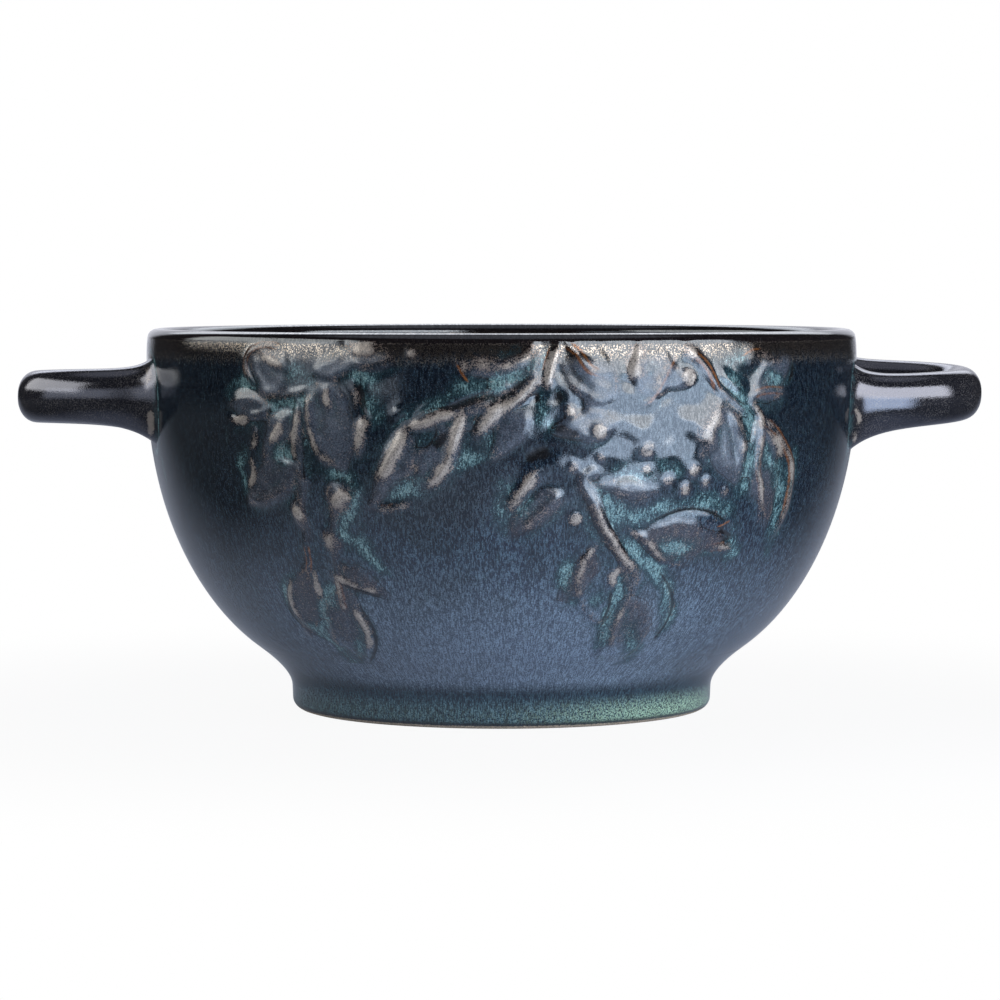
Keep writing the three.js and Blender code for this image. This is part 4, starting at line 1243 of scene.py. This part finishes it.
def makeFloor():
    bpy.ops.object.select_all(action="DESELECT")
    middle = (stage["front"] + stage["back"]) / 2
    bpy.ops.mesh.primitive_plane_add(size=2, location=(0, middle, 0))
    floor = bpy.context.object
    floor.name = "floor"
    floor.scale = (stage["half"], stage["back"] - middle, 1)
    bpy.ops.object.transform_apply(location=True, rotation=True, scale=True)
    material, net, shader = newMaterial("floorPaper")
    place = net.place()
    x, y, z = net.split(place)
    # white under the cup and behind it, dim further off
    least, wider = stage["room"]
    room = net.plus(net.times(net.calc("MAXIMUM", y, 0.0), wider), least)
    forward = net.times(net.calc("MINIMUM", y, 0.0), stage["forward"])
    away = net.length(net.join(net.calc("DIVIDE", x, room), forward))
    ragged = net.times(net.noise(place, 40.0), stage["ragged"])
    far = net.between(net.plus(away, ragged), *stage["far"])
    color = net.mix(far, stage["white"], stage["dim"])
    net.fill(shader.inputs, {"Base Color": color, "Roughness": stage["rough"]})
    # the camera sees it all but white
    glow = net.node("Emission", {"Color": (1, 1, 1, 1), "Strength": 1.0})
    shown = net.between(net.length(place), *stage["shade"], stage["seen"], 1.0)
    share = net.times(net.node("LightPath").outputs["Is Camera Ray"], shown)
    mix = net.node("MixShader", {0: share, 1: shader.outputs[0], 2: glow.outputs[0]})
    net.put(mix.outputs[0], net.tree.nodes["Material Output"].inputs["Surface"])
    floor.data.materials.append(material)


makeFloor()

studio = {"front": 0.03, "back": 0.9, "top": 0.35, "tint": (0.90, 0.91, 1.0), "lean": 0.4,
          "behind": (0.92, 0.985), "overhead": (0.80, 0.92)}


def makeStudio():
    world = bpy.data.worlds.new("studio")
    bpy.context.scene.world = world
    world.use_nodes = True
    net = Net(world.node_tree)
    x, y, z = net.split(net.node("TexCoord").outputs["Generated"])
    leaning = net.plus(y, net.times(net.calc("MAXIMUM", z, 0.0), studio["lean"]))
    behind = net.between(leaning, *studio["behind"], studio["front"], studio["back"])
    overhead = net.between(z, *studio["overhead"], 0.0, studio["top"])
    seen = net.node("LightPath").outputs["Is Camera Ray"]
    strength = net.node("Mix", {0: seen, 2: net.calc("MAXIMUM", behind, overhead), 3: 1.0}).outputs[0]
    net.fill(net.tree.nodes["Background"].inputs,
             {"Strength": strength, "Color": net.mix(seen, studio["tint"], (1, 1, 1))})


makeStudio()

# lamps: turn from the front, then metres, glow and tint
lamps = {
    "rightBox": {"turn": 44, "away": 0.9, "low": 0.03, "high": 0.6, "wide": 1.05, "glow": 3.8,
                 "tint": (1, 0.98, 0.97)},
    "lowCard": {"turn": 37, "away": 0.17, "low": 0.014, "high": 0.059, "wide": 0.14, "glow": 3.3,
                "tint": (0.74, 0.85, 1)},
    "leftPanel": {"turn": -58, "away": 0.9, "low": 0.02, "high": 0.30, "wide": 0.8, "glow": 0.65,
                  "tint": (0.9, 0.93, 1)},
    "leftBox": {"turn": -86, "away": 0.9, "low": 0.20, "high": 0.75, "wide": 1.2, "glow": 2.3,
                "tint": (1, 0.96, 0.89)},
    "backBox": {"turn": 176, "away": 0.8, "low": 0.42, "high": 0.85, "wide": 1.1, "glow": 1.6,
                "tint": (0.95, 0.97, 1)},
}


def makeLamp(name, lamp):
    turn = math.radians(lamp["turn"])
    tall = lamp["high"] - lamp["low"]
    bpy.ops.object.light_add(
        type="AREA", location=(*around(lamp["away"], turn), (lamp["low"] + lamp["high"]) / 2),
        rotation=(math.radians(90), 0, turn))
    box = bpy.context.object
    box.name = name
    box.data.shape = "RECTANGLE"
    box.data.size, box.data.size_y = lamp["wide"], tall
    box.data.energy = lamp["glow"] * math.pi * lamp["wide"] * tall
    box.data.color = lamp["tint"]
    box.visible_camera = False


for name, lamp in lamps.items():
    makeLamp(name, lamp)
print("studio lit")
